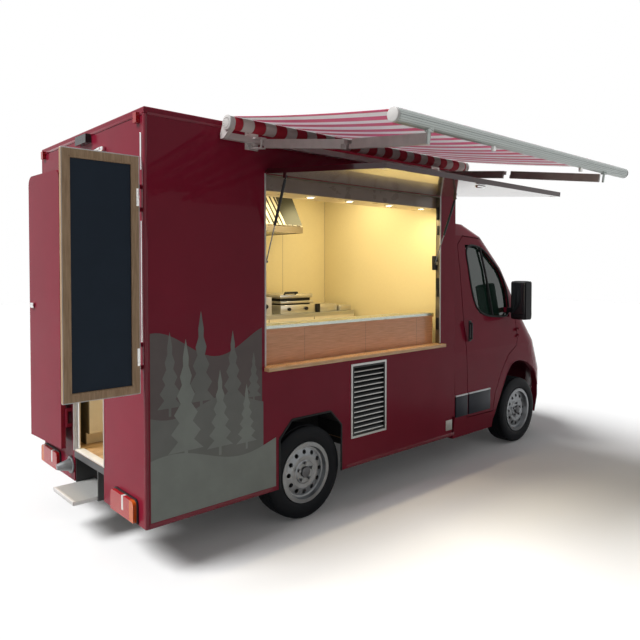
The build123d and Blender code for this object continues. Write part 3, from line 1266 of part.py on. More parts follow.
def seat(y, width):
    """A cab seat: base, cushion and back with its head rest."""
    y0, y1 = y - width / 2, y + width / 2
    base_z1 = CAB_FLOOR_Z + SEAT_BASE_HIGH
    solid = block(*SEAT_BASE_X, y0 + 40, y1 - 40, CAB_FLOOR_Z, base_z1)
    solid += block(*CUSHION_X, y0, y1, base_z1, base_z1 + CUSHION_HIGH)
    solid += outline_prism(SEAT_BACK, 0, y0, y1) + outline_prism(HEAD_REST, 0, y - 130, y + 130)
    return one(solid + block(FRONT_AXLE_X - 1025, FRONT_AXLE_X - 995, y - 60, y + 60, 1540, 1600))


save("cab_seats", seat(480, 480), seat(-360, 760))

DASH_OUTLINE = [(-107, 1330), (-267, 1260), (-297, 1120), (-187, 985), (-87, 960)]
DASH_HALF = 765
WHEEL_RADIUS = 190


def dashboard():
    """Dash with the steering column and wheel on the driver's side."""
    back = FIRE_WALL_X - FRONT_AXLE_X - SEAT_GAP
    dash = outline_prism([(back, 960), (back, 1290), *DASH_OUTLINE], 0, -DASH_HALF, DASH_HALF)
    centre = Vector(FRONT_AXLE_X - 387, 480, 1220)
    lean = Vector(-0.55, 0, 0.835)
    plane = Plane(origin=centre, z_dir=lean)
    ring = plane * Torus(WHEEL_RADIUS, 15)
    boss = extrude(plane * Circle(48), amount=30, both=True)
    spokes = extrude(plane * Rectangle(36, 2 * WHEEL_RADIUS), amount=9, both=True)
    column = rod(centre, centre - lean * 260, 34)
    return one(dash + ring + boss + spokes + column)


save("dashboard", dashboard())
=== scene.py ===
"""A food truck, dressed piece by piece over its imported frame. Lengths are metres."""
from math import cos, pi, radians, sin, tan

import bpy
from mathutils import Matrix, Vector


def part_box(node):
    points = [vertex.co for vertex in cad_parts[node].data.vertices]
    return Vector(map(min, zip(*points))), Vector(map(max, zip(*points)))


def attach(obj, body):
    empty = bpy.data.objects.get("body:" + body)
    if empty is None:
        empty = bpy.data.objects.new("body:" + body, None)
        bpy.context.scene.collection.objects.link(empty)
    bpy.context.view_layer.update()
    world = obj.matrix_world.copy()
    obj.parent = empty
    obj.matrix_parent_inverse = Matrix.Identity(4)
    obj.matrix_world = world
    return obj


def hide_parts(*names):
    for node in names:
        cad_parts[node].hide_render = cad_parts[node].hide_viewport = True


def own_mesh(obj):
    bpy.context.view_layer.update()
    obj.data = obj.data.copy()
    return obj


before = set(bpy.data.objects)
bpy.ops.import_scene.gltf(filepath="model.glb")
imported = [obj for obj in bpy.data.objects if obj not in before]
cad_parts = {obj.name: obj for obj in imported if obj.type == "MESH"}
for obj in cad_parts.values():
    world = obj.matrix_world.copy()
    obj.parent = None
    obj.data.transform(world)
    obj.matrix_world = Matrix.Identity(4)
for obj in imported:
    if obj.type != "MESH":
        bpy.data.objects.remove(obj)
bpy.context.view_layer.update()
bpy.ops.object.select_all(action="DESELECT")

# The truck's own measures: x from the box's rear wall, y from its middle, z from the ground
roof_low, roof_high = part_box("box_roof")
REAR = roof_low.x
MIDDLE = (roof_low.y + roof_high.y) / 2
BOX_LENGTH = roof_high.x - roof_low.x
HALF_WIDTH = (roof_high.y - roof_low.y) / 2
BOX_TOP = roof_high.z


def at(x, y, z):
    """A place on the truck, in the frame."""
    return Vector((REAR + x, MIDDLE + y, z))


# The studio: a camera behind the truck's right rear corner, a white floor that keeps the
# shadow, a large soft key from behind on the left and a weaker one on the serving side.
camera_data = bpy.data.cameras.new("camera")
camera_data.lens = 34.226
camera_data.sensor_width = 36
camera_data.shift_y = -0.05775
camera = bpy.data.objects.new("camera", camera_data)
camera.location = at(-1.6466, -4.2598, 1.8594)
camera.rotation_euler = (radians(88.606), 0, radians(-42.171))
bpy.context.scene.collection.objects.link(camera)
bpy.context.scene.camera = camera
bpy.context.scene.view_settings.view_transform = "Standard"


class Wire:
    """A value on its way through a finish; a sum written on it adds the Math nodes."""

    def __init__(self, finish, socket):
        self.finish = finish
        self.socket = socket

    def maths(self, kind, *others):
        return self.finish.node("Math", {"operation": kind}, [self, *others])

    def __add__(self, other):
        return self.maths("ADD", other)

    def __sub__(self, other):
        return self.maths("SUBTRACT", other)

    def __rsub__(self, other):
        return self.finish.node("Math", {"operation": "SUBTRACT"}, [other, self])

    def __mul__(self, other):
        return self.maths("MULTIPLY", other)

    def __gt__(self, other):
        return self.maths("GREATER_THAN", other)

    def __lt__(self, other):
        return self.maths("LESS_THAN", other)

    def __abs__(self):
        return self.maths("ABSOLUTE")

    def within(self, low, high):
        return (self > low) * (self < high)

    def every(self, pitch):
        """How far along a pattern that starts again at each pitch."""
        return self.maths("WRAP", pitch, 0.0)

    __radd__ = __add__
    __rmul__ = __mul__


class Finish:
    """A procedural material: one Principled shader and the nodes that vary it."""

    def __init__(self, name, colour, rough, **fixed):
        self.material = bpy.data.materials.new(name)
        self.material.use_nodes = True
        self.tree = self.material.node_tree
        self.shader = self.tree.nodes["Principled BSDF"]
        self.colour = (*colour, 1)
        self.shader.inputs["Base Color"].default_value = self.colour
        self.shader.inputs["Roughness"].default_value = rough
        for word, value in fixed.items():
            self.shader.inputs[word.replace("_", " ")].default_value = value

    def node(self, kind, settings, inputs, output=0):
        """Any node: its settings first, then the values or links of its sockets."""
        made = self.tree.nodes.new("ShaderNode" + kind)
        for name, value in settings.items():
            if name != "stops":
                setattr(made, name, value)
                continue
            steps = made.color_ramp.elements
            steps.remove(steps[-1])
            steps[0].position, steps[0].color = value[0][0], (*value[0][1], 1)
            for position, colour in value[1:]:
                steps.new(position).color = (*colour, 1)
        for place, value in (inputs.items() if isinstance(inputs, dict) else enumerate(inputs)):
            if isinstance(value, Wire):
                self.tree.links.new(value.socket, made.inputs[place])
            else:
                made.inputs[place].default_value = value
        return Wire(self, made.outputs[output])

    def place(self, stretch=(1, 1, 1)):
        """Object coordinates, squeezed where a pattern is longer one way."""
        here = self.node("TexCoord", {}, {}, "Object")
        return self.node("Mapping", {}, {"Vector": here, "Scale": stretch})

    def axis(self, index):
        """One coordinate: x from the rear wall, y from the middle or z from the ground."""
        start = (REAR, MIDDLE, 0)[index]
        return self.node("SeparateXYZ", {}, [self.place()], index) - start

    def axes(self):
        return [self.axis(index) for index in range(3)]

    def noise(self, scale, detail=3, stretch=(1, 1, 1)):
        return self.node("TexNoise", {}, {
            "Vector": self.place(stretch), "Scale": scale, "Detail": detail})

    def blend(self, mask, first, second):
        """A colour that is the first where the mask is 0 and the second where it is 1."""
        colours = [c if isinstance(c, Wire) else (*c[:3], 1) for c in (first, second)]
        return self.node("Mix", {"data_type": "RGBA"}, {0: mask, 6: colours[0], 7: colours[1]}, 2)

    def tint(self, mask, first, second):
        """The blend goes to the base colour."""
        return self.feed("Base Color", self.blend(mask, first, second))

    def soft(self, wire, low, high):
        """0 below low, 1 above high and smooth between."""
        return self.node("MapRange", {"interpolation_type": "SMOOTHSTEP"}, {
            "Value": wire, "From Min": low, "From Max": high})

    def feed(self, socket, wire):
        self.tree.links.new(wire.socket, self.shader.inputs[socket])
        return self

    def bump(self, height, distance, strength=1.0):
        """Relief: the height is 0 to 1 and the distance is how deep that is."""
        relief = self.node("Bump", {}, {"Height": height, "Distance": distance, "Strength": strength})
        return self.feed("Normal", relief)

    def grained(self, scale, detail, distance, strength):
        """Fine, even relief."""
        return self.bump(self.noise(scale, detail), distance, strength)

    def worn(self, amount, rough, scale=9):
        """Colour and gloss that wander a little, as on any used surface."""
        cloud = self.noise(scale, 5)
        dark = tuple(c * (1 - amount) for c in self.colour[:3])
        self.tint(self.soft(cloud, 0.3, 0.7), dark, self.colour)
        least = self.shader.inputs["Roughness"].default_value - rough / 2
        return self.feed("Roughness", cloud * rough + least)


def dress(finish, *nodes):
    """Give CAD nodes their finish."""
    for name in nodes:
        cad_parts[name].data.materials.clear()
        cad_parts[name].data.materials.append(finish.material)


FLOOR_LIFT = 0.02
FLOOR_SEEN = 0.97
FLOOR_BOUNCE = 0.28
floor = Finish("studio_floor", (0.94, 0.94, 0.94), 0.9)
bpy.ops.mesh.primitive_plane_add(size=60, location=(0, 0, 0))
ground = bpy.context.object
ground.name = "studio_floor"
ground.data.materials.append(floor.material)
direct, mirrored, passing = (floor.node("LightPath", {}, {}, f"Is {ray} Ray")
                             for ray in ("Camera", "Glossy", "Transmission"))
looked_at = direct + mirrored + passing
floor.tint(looked_at, (FLOOR_BOUNCE,) * 3, (FLOOR_SEEN,) * 3)
lift = floor.node("Emission", {}, {"Color": (1, 1, 1, 1), "Strength": looked_at * FLOOR_LIFT})
whole = floor.node("AddShader", {}, [Wire(floor, floor.shader.outputs[0]), lift])
floor.tree.links.new(whole.socket, floor.tree.nodes["Material Output"].inputs["Surface"])

SKY_LEVEL = 0.20
world = bpy.data.worlds.new("studio")
bpy.context.scene.world = world
world.use_nodes = True
sky = world.node_tree
rays = sky.nodes.new("ShaderNodeLightPath")
seen = rays.outputs["Is Camera Ray"]
for ray in ("Is Transmission Ray", "Is Glossy Ray"):
    either = sky.nodes.new("ShaderNodeMath")
    either.operation = "MAXIMUM"
    sky.links.new(seen, either.inputs[0])
    sky.links.new(rays.outputs[ray], either.inputs[1])
    seen = either.outputs[0]
level = sky.nodes.new("ShaderNodeMapRange")
level.inputs["To Min"].default_value = SKY_LEVEL
sky.links.new(seen, level.inputs["Value"])
sky.links.new(level.outputs[0], sky.nodes["Background"].inputs["Strength"])
sky.nodes["Background"].inputs["Color"].default_value = (1, 1, 1, 1)


def lamp(name, kind, place, aim, power, size, colour=(1, 1, 1)):
    """A lamp that looks from its place towards a point."""
    data = bpy.data.lights.new(name, kind)
    data.energy = power
    data.color = colour
    if kind == "SUN":
        data.angle = size
    elif kind == "AREA":
        data.size = size
    else:
        data.shadow_soft_size = size
    made = bpy.data.objects.new(name, data)
    made.location = place
    made.rotation_euler = (Vector(aim) - Vector(place)).to_track_quat("-Z", "Y").to_euler()
    bpy.context.scene.collection.objects.link(made)


lamp("key", "SUN", at(-6, 2.0, 8.75), at(0, 0, 1), 3.4, 0.45)
lamp("serving_side", "SUN", at(2.5, -7, 5.5), at(2, 0, 1), 0.10, 0.9)

# The box: sandwich panels bonded at their edges, sprayed deep red outside and faced with
# cream laminate inside, with extruded trims over the corner joints.
RED = (0.25, 0.013, 0.034)
CREAM = (0.78, 0.68, 0.42)
SKIN_DEPTH = 0.02
LINING_PITCH = 0.61
BOX_BOTTOM = 0.292


def red_paint(name, lined):
    """Two-pack gloss paint; where lined, the faces inside the box are cream laminate."""
    paint = Finish(name, RED, 0.22, Coat_Weight=0.12, Coat_Roughness=0.02, Specular_IOR_Level=0.04)
    cloud = paint.noise(3, 4)
    red = paint.blend(cloud, tuple(c * 0.86 for c in RED), tuple(c * 1.12 for c in RED))
    peel = paint.noise(420, 1)
    x, y, z = paint.axes()
    if not lined:
        # The cab doors' own mesh has the mirrors, which are black plastic
        mirror_zone = (abs(y) > 0.865) * (z > 1.32) * (x > 3.9)
        paint.tint(mirror_zone, red, (0.012, 0.012, 0.014))
        paint.feed("Roughness", cloud * 0.1 + 0.2 + mirror_zone * 0.2)
        return paint.bump(peel, 0.00008, 0.2)
    inside = x.within(SKIN_DEPTH, BOX_LENGTH - SKIN_DEPTH) * (abs(y) < HALF_WIDTH - SKIN_DEPTH)
    inside = inside * z.within(BOX_BOTTOM + 0.01, BOX_TOP - SKIN_DEPTH)
    joint = (x.every(LINING_PITCH) < 0.006) * inside
    cream = paint.blend(paint.noise(40, 5), tuple(c * 0.94 for c in CREAM), CREAM)
    lining = paint.blend(joint, cream, (0.42, 0.36, 0.24))
    paint.tint(inside, red, lining)
    paint.feed("Roughness", inside * 0.14 + 0.2 + cloud * 0.08)
    return paint.bump(peel * 0.1 - joint * 4, 0.0004, 0.4)


box_paint = red_paint("box_paint", True)
dress(box_paint, "box_right_wall", "box_left_wall", "box_rear_wall", "box_front_wall", "box_roof")


def only(*pieces):
    """Select these pieces alone, with the first one active."""
    bpy.ops.object.select_all(action="DESELECT")
    for piece in pieces:
        piece.select_set(True)
    bpy.context.view_layer.objects.active = pieces[0]
    return pieces[0]


def settle(piece, name, finish, body="root"):
    """Weld a list of parts, put the place into the mesh, dress the piece and let it ride."""
    if isinstance(piece, list):
        only(*piece)
        bpy.ops.object.transform_apply()
        bpy.ops.object.join()
        piece = bpy.context.object
    only(piece)
    bpy.ops.object.transform_apply()
    piece.name = name
    piece.data.materials.clear()
    piece.data.materials.append(finish.material)
    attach(piece, body)
    return piece


def press(piece, kind, **settings):
    """Add a modifier to the piece and apply it."""
    made = piece.modifiers.new(kind.lower(), kind)
    for name, value in settings.items():
        setattr(made, name, value)
    only(piece)
    bpy.ops.object.modifier_apply(modifier=made.name)
    return piece


def smooth(piece, degrees=40):
    """Shade smooth, but for edges that turn by more than this."""
    only(piece)
    bpy.ops.object.shade_smooth_by_angle(angle=radians(degrees))
    return piece


def panel(x0, x1, y0, y1, z0, z1, soften=0.003, steps=2):
    """A board, strip or box section between two places each way, its edges rounded."""
    low, high = (at(*corner) for corner in zip(*map(sorted, ((x0, x1), (y0, y1), (z0, z1)))))
    bpy.ops.mesh.primitive_cube_add(size=1, location=(low + high) / 2, scale=high - low)
    piece = bpy.context.object
    bpy.ops.object.transform_apply()
    soften = min(soften, 0.45 * min(high - low))
    press(piece, "BEVEL", width=soften, segments=steps, limit_method="NONE")
    return smooth(piece)


def bar(start, end, radius, soften=0.002, sides=28):
    """A turned bar between two points, its ends rounded."""
    start, end = Vector(start), Vector(end)
    way = end - start
    bpy.ops.mesh.primitive_cylinder_add(
        vertices=sides, radius=radius, depth=way.length, location=(start + end) / 2,
        rotation=way.to_track_quat("Z", "Y").to_euler())
    piece = bpy.context.object
    soften = min(soften, 0.45 * radius, 0.45 * way.length)
    press(piece, "BEVEL", width=soften, segments=2, limit_method="ANGLE", angle_limit=radians(50))
    return smooth(piece)


corner_metal = Finish("corner_trim", (0.24, 0.011, 0.030), 0.24, Coat_Weight=0.25, Coat_Roughness=0.05,
                      Specular_IOR_Level=0.15).worn(0.1, 0.08, 14)
RAIL = (BOX_TOP - 0.052, BOX_TOP - 0.034)
SKIRT = (BOX_BOTTOM + 0.002, BOX_BOTTOM + 0.03)
edge = HALF_WIDTH - 0.012
trims = []
for side in (-1, 1):
    trims.append(bar(at(0.012, side * edge, BOX_BOTTOM), at(0.012, side * edge, BOX_TOP - 0.045), 0.0148))
    wall = side * HALF_WIDTH
    for x0, x1, proud, height in ((0.02, BOX_LENGTH - 0.01, 0.004, RAIL), (0.02, 0.95, 0.0014, SKIRT),
                                  (1.68, BOX_LENGTH - 0.004, 0.0014, SKIRT)):
        trims.append(panel(x0, x1, wall - proud, wall + proud, *height))
trims.append(panel(-0.004, 0.004, -edge, edge, *RAIL))
settle(trims, "box_corner_trims", corner_metal)

# The landscape on the serving side's rear corner: cut vinyl film, far hills, rolling ground
# and fir trees in grey-green on the red paint, each cut a layer of its own.
FILM_THICK = 0.0005
WALL = -HALF_WIDTH


def film(name, tone):
    """Matt vinyl film in one tone of grey-green."""
    return Finish(name, tone, 0.42, Specular_IOR_Level=0.2).worn(0.12, 0.1, 6)


def placed(data):
    """A new object for a mesh or a curve, selected alone."""
    piece = bpy.data.objects.new(data.name, data)
    bpy.context.scene.collection.objects.link(piece)
    return only(piece)


def plate(points, thick, facing, level, soften=0.0):
    """A plate cut to an outline; on a side wall the points are (x, z), on the rear (y, z)."""
    curve = bpy.data.curves.new("outline", "CURVE")
    curve.dimensions = "2D"
    curve.fill_mode = "BOTH"
    curve.extrude = thick / 2 - soften
    curve.bevel_depth = soften
    curve.bevel_resolution = 2
    run = curve.splines.new("POLY")
    run.points.add(len(points) - 1)
    for spot, (across, up) in zip(run.points, points):
        spot.co = (across, up, 0, 1)
    run.use_cyclic_u = True
    placed(curve)
    bpy.ops.object.convert(target="MESH")
    piece = bpy.context.object
    if facing == "side":
        piece.rotation_euler = (pi / 2, 0, 0)
        piece.location = at(0, level, 0)
    else:
        piece.rotation_euler = (pi / 2, 0, pi / 2)
        piece.location = at(level, 0, 0)
    bpy.ops.object.transform_apply()
    return smooth(piece, 35)


def fir(x, foot, tall, wide, tiers):
    """A fir's outline: drooping tiers up one side and down the other."""
    half = [(0.05 * wide, 0), (0.05 * wide, 0.1)]
    for i in range(tiers):
        reach = 0.5 * wide * (1 - i / tiers)
        up = 0.1 + 0.9 * i / tiers
        half += [(reach, up), (reach * 0.45, up + 0.5 / tiers)]
    right = [(x + a, foot + b * tall) for a, b in half]
    left = [(x - a, foot + b * tall) for a, b in reversed(half)]
    return right + [(x, foot + tall)] + left


def rolling(x0, x1, low, high, swell, waves, shift):
    """Ground whose upper edge rolls between two ends."""
    steps = 24
    crest = []
    for i in range(steps + 1):
        x = x0 + (x1 - x0) * i / steps
        crest.append((x, high + swell * sin(waves * x + shift)))
    return [(x0, low), *crest, (x1, low)]


FILM_TONES = (("far", (0.15, 0.125, 0.12)), ("middle", (0.21, 0.215, 0.20)), ("near", (0.30, 0.325, 0.295)))
FILM_CUTS = {
    "far": [rolling(0.03, 0.86, 0.9, 1.38, 0.09, 7.0, 1.2)],
    "middle": [rolling(0.03, 0.87, 0.6, 0.98, 0.05, 8.0, 3.4),
               *[fir(x, 0.95, tall, wide, 5) for x, tall, wide in (
                   (0.16, 0.52, 0.17), (0.38, 0.64, 0.20), (0.62, 0.50, 0.17), (0.79, 0.34, 0.13))]],
    "near": [rolling(0.03, 0.98, 0.325, 0.66, 0.055, 6.0, 0.6),
             *[fir(x, 0.64, tall, wide, 6) for x, tall, wide in (
                 (0.27, 0.78, 0.25), (0.52, 0.56, 0.20), (0.73, 0.44, 0.17))]],
}
for i, (depth, tone) in enumerate(FILM_TONES):
    cuts = []
    for j, points in enumerate(FILM_CUTS[depth]):
        cuts.append(plate(points, FILM_THICK, "side", WALL - (0.9 * i + 1 + 0.09 * j) * FILM_THICK))
    settle(cuts, f"landscape_{depth}", film(f"landscape_film_{depth}", tone))

# The serving hatch: white extrusions line its jambs, a top-hung flap on a rolled hinge has a
# red frame and a glossy lining, and a wooden counter stands back from the wall.
REAR_JAMB, FRONT_JAMB, SILL, HEAD = 0.893, 2.871, 1.165, 2.505
white_metal = Finish("white_powder_coat", (0.72, 0.70, 0.68), 0.34).worn(0.1, 0.12, 20)
white_metal.grained(600, 1, 0.0002, 0.3)
settle([panel(x0, x1, WALL - 0.002, WALL + 0.002, SILL + 0.012, HEAD + 0.006)
        for x0, x1 in ((REAR_JAMB - 0.008, REAR_JAMB + 0.005),
                       (FRONT_JAMB - 0.005, FRONT_JAMB + 0.010))], "hatch_jamb_trims", white_metal)
liner_metal = Finish("jamb_liner", (0.20, 0.17, 0.12), 0.4, Metallic=0.5).worn(0.3, 0.2, 14)
liners = []
for x0, x1 in ((REAR_JAMB - 0.001, REAR_JAMB + 0.004), (FRONT_JAMB - 0.004, FRONT_JAMB + 0.001)):
    liners.append(panel(x0, x1, WALL, WALL + 0.047, SILL + 0.012, HEAD - 0.002, 0.001))
liners.append(panel(REAR_JAMB, FRONT_JAMB, WALL - 0.001, WALL + 0.047, HEAD - 0.004, HEAD + 0.001, 0.001))
settle(liners, "hatch_jamb_liners", liner_metal)

flap = Finish("flap_lining", RED, 0.14, Coat_Weight=0.5, Coat_Roughness=0.02, Specular_IOR_Level=0.2)
HINGE_Y = WALL - 0.023
HINGE_Z = 2.523
DROOP = tan(radians(5))
fx, fy, fz = flap.axes()
above = fz - fy * DROOP - (HINGE_Z - HINGE_Y * DROOP)
inset = fx.within(0.935, 2.829) * fy.within(-1.965, -1.0)
lining = flap.blend(flap.noise(2.5, 3), (0.13, 0.085, 0.065), (0.22, 0.15, 0.115))
# The flap's edges and the rim of its underside are a darker copy of the red: painted shade. Only the top face
# keeps the full red.
red = flap.blend(above > 0.0163, (0.060, 0.008, 0.012), RED)
flap.tint((above < 0) * inset, red, lining)
flap.grained(400, 1, 0.0003, 0.2)
dress(flap, "hatch_flap")

steel = Finish("satin_steel", (0.62, 0.62, 0.60), 0.28, Metallic=1.0)
brushed = steel.noise(70, 3, (1, 12, 12))
steel.feed("Roughness", brushed * 0.2 + 0.2)
steel.bump(brushed, 0.0002, 0.3)
black = Finish("black_plastic", (0.010, 0.010, 0.012), 0.42, Specular_IOR_Level=0.25)
black.worn(0.2, 0.15, 30).grained(900, 2, 0.0003, 0.5)
chrome = Finish("polished_chrome", (0.78, 0.78, 0.78), 0.08, Metallic=1.0)
chrome.feed("Roughness", chrome.noise(60, 3) * 0.1 + 0.04)

FLAP_TIP_Y = -2.002
settle([panel(x, x + s * 0.05, FLAP_TIP_Y - 0.001, FLAP_TIP_Y + 0.045, 2.4130, 2.4165, 0.002)
        for x, s in ((0.879, 1), (2.885, -1))], "flap_corner_tips", white_metal, "hatch_flap")
catch = panel(1.84, 1.92, -1.975, -1.945, 2.395, 2.412, 0.004)
settle(catch, "flap_catch", chrome, "hatch_flap")

dress(black, "gas_strut_rear", "gas_strut_front")
rod_steel = Finish("strut_rod", (0.20, 0.20, 0.20), 0.2, Metallic=0.9).worn(0.2, 0.1, 40)
dress(rod_steel, "strut_rod_rear", "strut_rod_front")
STRUT_FOOT = (2.832, 1.917)
feet = [panel(STRUT_FOOT[0] - 0.004, FRONT_JAMB - 0.001, WALL + 0.030, WALL + 0.062, STRUT_FOOT[1] - 0.075,
              STRUT_FOOT[1] + 0.055, 0.006)]
for z in (1.30, 1.66, 2.30):
    feet.append(panel(FRONT_JAMB - 0.014, FRONT_JAMB - 0.003, WALL + 0.010, WALL + 0.036, z, z + 0.11, 0.003))
settle(feet, "front_jamb_fittings", black)
settle([panel(x, x + 0.011, WALL + 0.008, WALL + 0.03, z, z + 0.085, 0.003)
        for x in (REAR_JAMB + 0.001, FRONT_JAMB - 0.012) for z in (1.60, 2.16)], "hatch_lock_keeps", black)

counter = Finish("varnished_counter", (0.30, 0.12, 0.06), 0.3, Coat_Weight=0.12, Specular_IOR_Level=0.3)
cz = counter.axis(2)
grain = counter.noise(14, 6, (0.5, 8, 14))
streak = counter.noise(60, 4, (0.25, 6, 9))
dark_wood = counter.blend(counter.soft(grain, 0.3, 0.72), (0.74, 0.36, 0.185), (0.92, 0.50, 0.28))
dark_wood = counter.blend(counter.soft(streak, 0.55, 0.8) * 0.5, dark_wood, (0.62, 0.28, 0.15))
light_wood = counter.blend(counter.soft(grain, 0.3, 0.7), (0.72, 0.42, 0.20), (0.92, 0.62, 0.36))
plank = counter.axis(0).every(0.66) < 0.0025
dark_wood = counter.blend(plank * 0.6, dark_wood, (0.14, 0.06, 0.035))
top_mask = cz > 1.428
shelf_mask = cz < 1.1735
wood = counter.blend(shelf_mask, dark_wood, light_wood)
counter.tint(top_mask, wood, (0.46, 0.50, 0.44))
counter.feed("Metallic", top_mask * 0.9)
counter.feed("Roughness", streak * 0.14 + 0.2)
counter.bump(grain * 0.4 + streak * 0.4 - plank * 2, 0.0008, 0.35)
dress(counter, "serving_counter")

# The lamp soffit over the counter carries four recessed spot lamps with chrome rims.
soffit = Finish("soffit_laminate", (0.66, 0.56, 0.38), 0.3, Coat_Weight=0.2)
soffit_cloud = soffit.noise(6, 4)
# The soffit's front face is painted dark brown: painted shade from the flap above it. The underside keeps the
# pale laminate.
soffit_front = (soffit.axis(2) > 2.4025) * (soffit.axis(1) < -0.70)
soffit_pale = soffit.blend(soffit_cloud, (0.60, 0.46, 0.27), (0.70, 0.56, 0.36))
soffit_front_painted_shade = soffit.blend(soffit_cloud, (0.20, 0.14, 0.10), (0.24, 0.17, 0.125))
soffit.tint(soffit_front, soffit_pale, soffit_front_painted_shade)
soffit.feed("Roughness", soffit_cloud * 0.15 + 0.22)
dress(soffit, "lamp_soffit")
glow = Finish("lamp_glow", (1, 0.85, 0.6), 0.3, Emission_Color=(1, 0.82, 0.52, 1), Emission_Strength=9)
glow.feed("Roughness", glow.noise(80, 2) * 0.2 + 0.2)
SOFFIT_Z = 2.400
SPOT_Y = -0.755
rims, lenses = [], []
for x in (1.43, 1.85, 2.33, 2.77):
    bpy.ops.mesh.primitive_torus_add(
        location=at(x, SPOT_Y, SOFFIT_Z), major_radius=0.036, minor_radius=0.0065, major_segments=36,
        minor_segments=10)
    bpy.ops.object.shade_smooth()
    rims.append(bpy.context.object)
    lenses.append(bar(at(x, SPOT_Y, SOFFIT_Z - 0.003), at(x, SPOT_Y, SOFFIT_Z + 0.002), 0.032))
    lamp(f"spot_{x}", "AREA", at(x, -0.74, SOFFIT_Z - 0.012), at(x, -0.45, 1.4), 3.2, 0.06, (1, 0.82, 0.50))
settle(rims, "spot_rims", chrome)
settle(lenses, "spot_lenses", glow)
for x, power in ((0.5, 13), (1.25, 7), (1.95, 7), (2.6, 7)):
    lamp(f"kitchen_{x}", "AREA", at(x, 0.0, 2.74), at(x, 0.15, 0.5), power, 0.45, (1, 0.86, 0.53))

# The kitchen: laminate cupboards with steel tops and pull handles, a griddle with its knobs,
# a contact grill with boxes beside it, the hood with baffle filters, and boards on the floor.
kitchen_steel = Finish("kitchen_steel", (0.60, 0.58, 0.52), 0.3, Metallic=0.85)
rolled = kitchen_steel.noise(50, 3, (10, 10, 1))
kitchen_steel.feed("Roughness", rolled * 0.22 + 0.22)
kitchen_steel.bump(rolled, 0.0002, 0.3)
dress(kitchen_steel, "griddle")
UNITS_REAR, UNIT = 0.12, 0.568
cupboards = Finish("cupboard_laminate", (0.74, 0.68, 0.54), 0.35)
kx, kz = cupboards.axis(0), cupboards.axis(2)
door_gap = ((kx - UNITS_REAR).every(UNIT) < 0.006) + kz.within(1.335, 1.341)
steel_top = kz > 1.376
laminate = cupboards.blend(cupboards.noise(20, 4), (0.70, 0.64, 0.50), (0.78, 0.72, 0.58))
faces = cupboards.blend(door_gap, laminate, (0.12, 0.10, 0.07))
cupboards.tint(steel_top, faces, (0.55, 0.55, 0.50))
cupboards.feed("Metallic", steel_top * 0.8).bump(1 - door_gap, 0.001, 0.6)
dress(cupboards, "kitchen_units")
hood = Finish("hood_steel", (0.62, 0.56, 0.42), 0.32, Metallic=0.7)
HOOD_LIP, HOOD_END = 2.27, 2.02
hx, hy, hz = hood.axes()
# The slots between the baffle filters are painted near-black: painted shade in the slots. The end wall inside
# the hood is painted shade too, and the steel below the lip is a darker copy of it: painted shade under the
# hood.
slat = (hx + hz * 0.16).every(0.052) < 0.022
steel_tone = hood.blend(hood.noise(30, 4), (0.52, 0.48, 0.36), (0.70, 0.64, 0.48))
filters = slat * (hy > 0.275) * hz.within(HOOD_LIP, 2.66) * (hx < HOOD_END)
end_shade = (hx > HOOD_END) * (hz > HOOD_LIP)
steel_tone = hood.blend(end_shade, steel_tone, (0.045, 0.045, 0.032))
steel_tone = hood.blend(hz < HOOD_LIP, steel_tone, (0.24, 0.20, 0.13))
hood.tint(filters, steel_tone, (0.04, 0.036, 0.028))
hood.bump(1 - filters, 0.004, 0.6)
dress(hood, "extractor_hood")

handles = []
GRIP_Z = 1.30
for i in range(5):
    x = UNITS_REAR + UNIT * i + 0.06
    for y, s in ((0.285, -1), (-0.305, 1)):
        out = y + s * 0.028
        handles.append(bar(at(x + 0.1, out, GRIP_Z), at(x + 0.35, out, GRIP_Z), 0.006))
        for post in (0.12, 0.33):
            handles.append(bar(at(x + post, out, GRIP_Z), at(x + post, y - s * 0.002, GRIP_Z), 0.005))
settle(handles, "cupboard_handles", steel)
knobs = []
for i in range(5):
    x = 1.26 + 0.135 * i
    knobs.append(bar(at(x, 0.316, 1.50), at(x, 0.285, 1.50), 0.021, 0.004))
    knobs.append(panel(x - 0.004, x + 0.004, 0.276, 0.287, 1.482, 1.518, 0.002))
settle(knobs, "griddle_knobs", black)
slats = []
for i in range(19):
    x = 1.085 + 0.06 * i
    slats.append(panel(x, x + 0.042, 0.262, 0.272, 2.268, 2.276, 0.001))
    slats.append(panel(x, x + 0.03, 0.30, 0.83, 2.205, 2.211, 0.001))
settle(slats, "hood_filter_ribs", kitchen_steel)
WORKTOP = 1.415


def on_top(x0, x1, y0, y1, z0, z1, soften=0.003):
    """A box section at a height over the worktop."""
    return panel(x0, x1, y0, y1, WORKTOP + z0, WORKTOP + z1, soften)


x0, x1, y0, y1 = 2.00, 2.44, 0.33, 0.74
grill = [
    on_top(x0, x1, y0, y1, 0.0, 0.085, 0.008), on_top(x0 + 0.01, x1 - 0.01, y0 + 0.01, y1, 0.098, 0.122, 0.006),
    on_top(x0, x1 - 0.02, y0 + 0.005, y1, 0.150, 0.190, 0.010),
    on_top(2.52, 2.78, 0.36, 0.80, 0.0, 0.075, 0.006), on_top(2.80, 2.955, 0.33, 0.80, 0.0, 0.055, 0.006),
]
settle(grill, "contact_grill_and_boxes", kitchen_steel)
grill_parts = [on_top(x0 + 0.02, x1 - 0.04, y0 + 0.03, y1 - 0.01, 0.08, 0.155),
               bar(at(2.04, 0.315, WORKTOP + 0.205), at(2.20, 0.315, WORKTOP + 0.205), 0.011, 0.005),
               on_top(2.455, 2.505, 0.318, 0.345, -0.02, 0.085, 0.005)]
for x in (2.05, 2.19):
    grill_parts.append(bar(at(x, 0.315, WORKTOP + 0.205), at(x, 0.36, WORKTOP + 0.175), 0.007))
for x in (2.10, 2.32):
    grill_parts.append(bar(at(x, y0, WORKTOP + 0.045), at(x, y0 - 0.022, WORKTOP + 0.045), 0.017, 0.004))
settle(grill_parts, "contact_grill_plates", black)

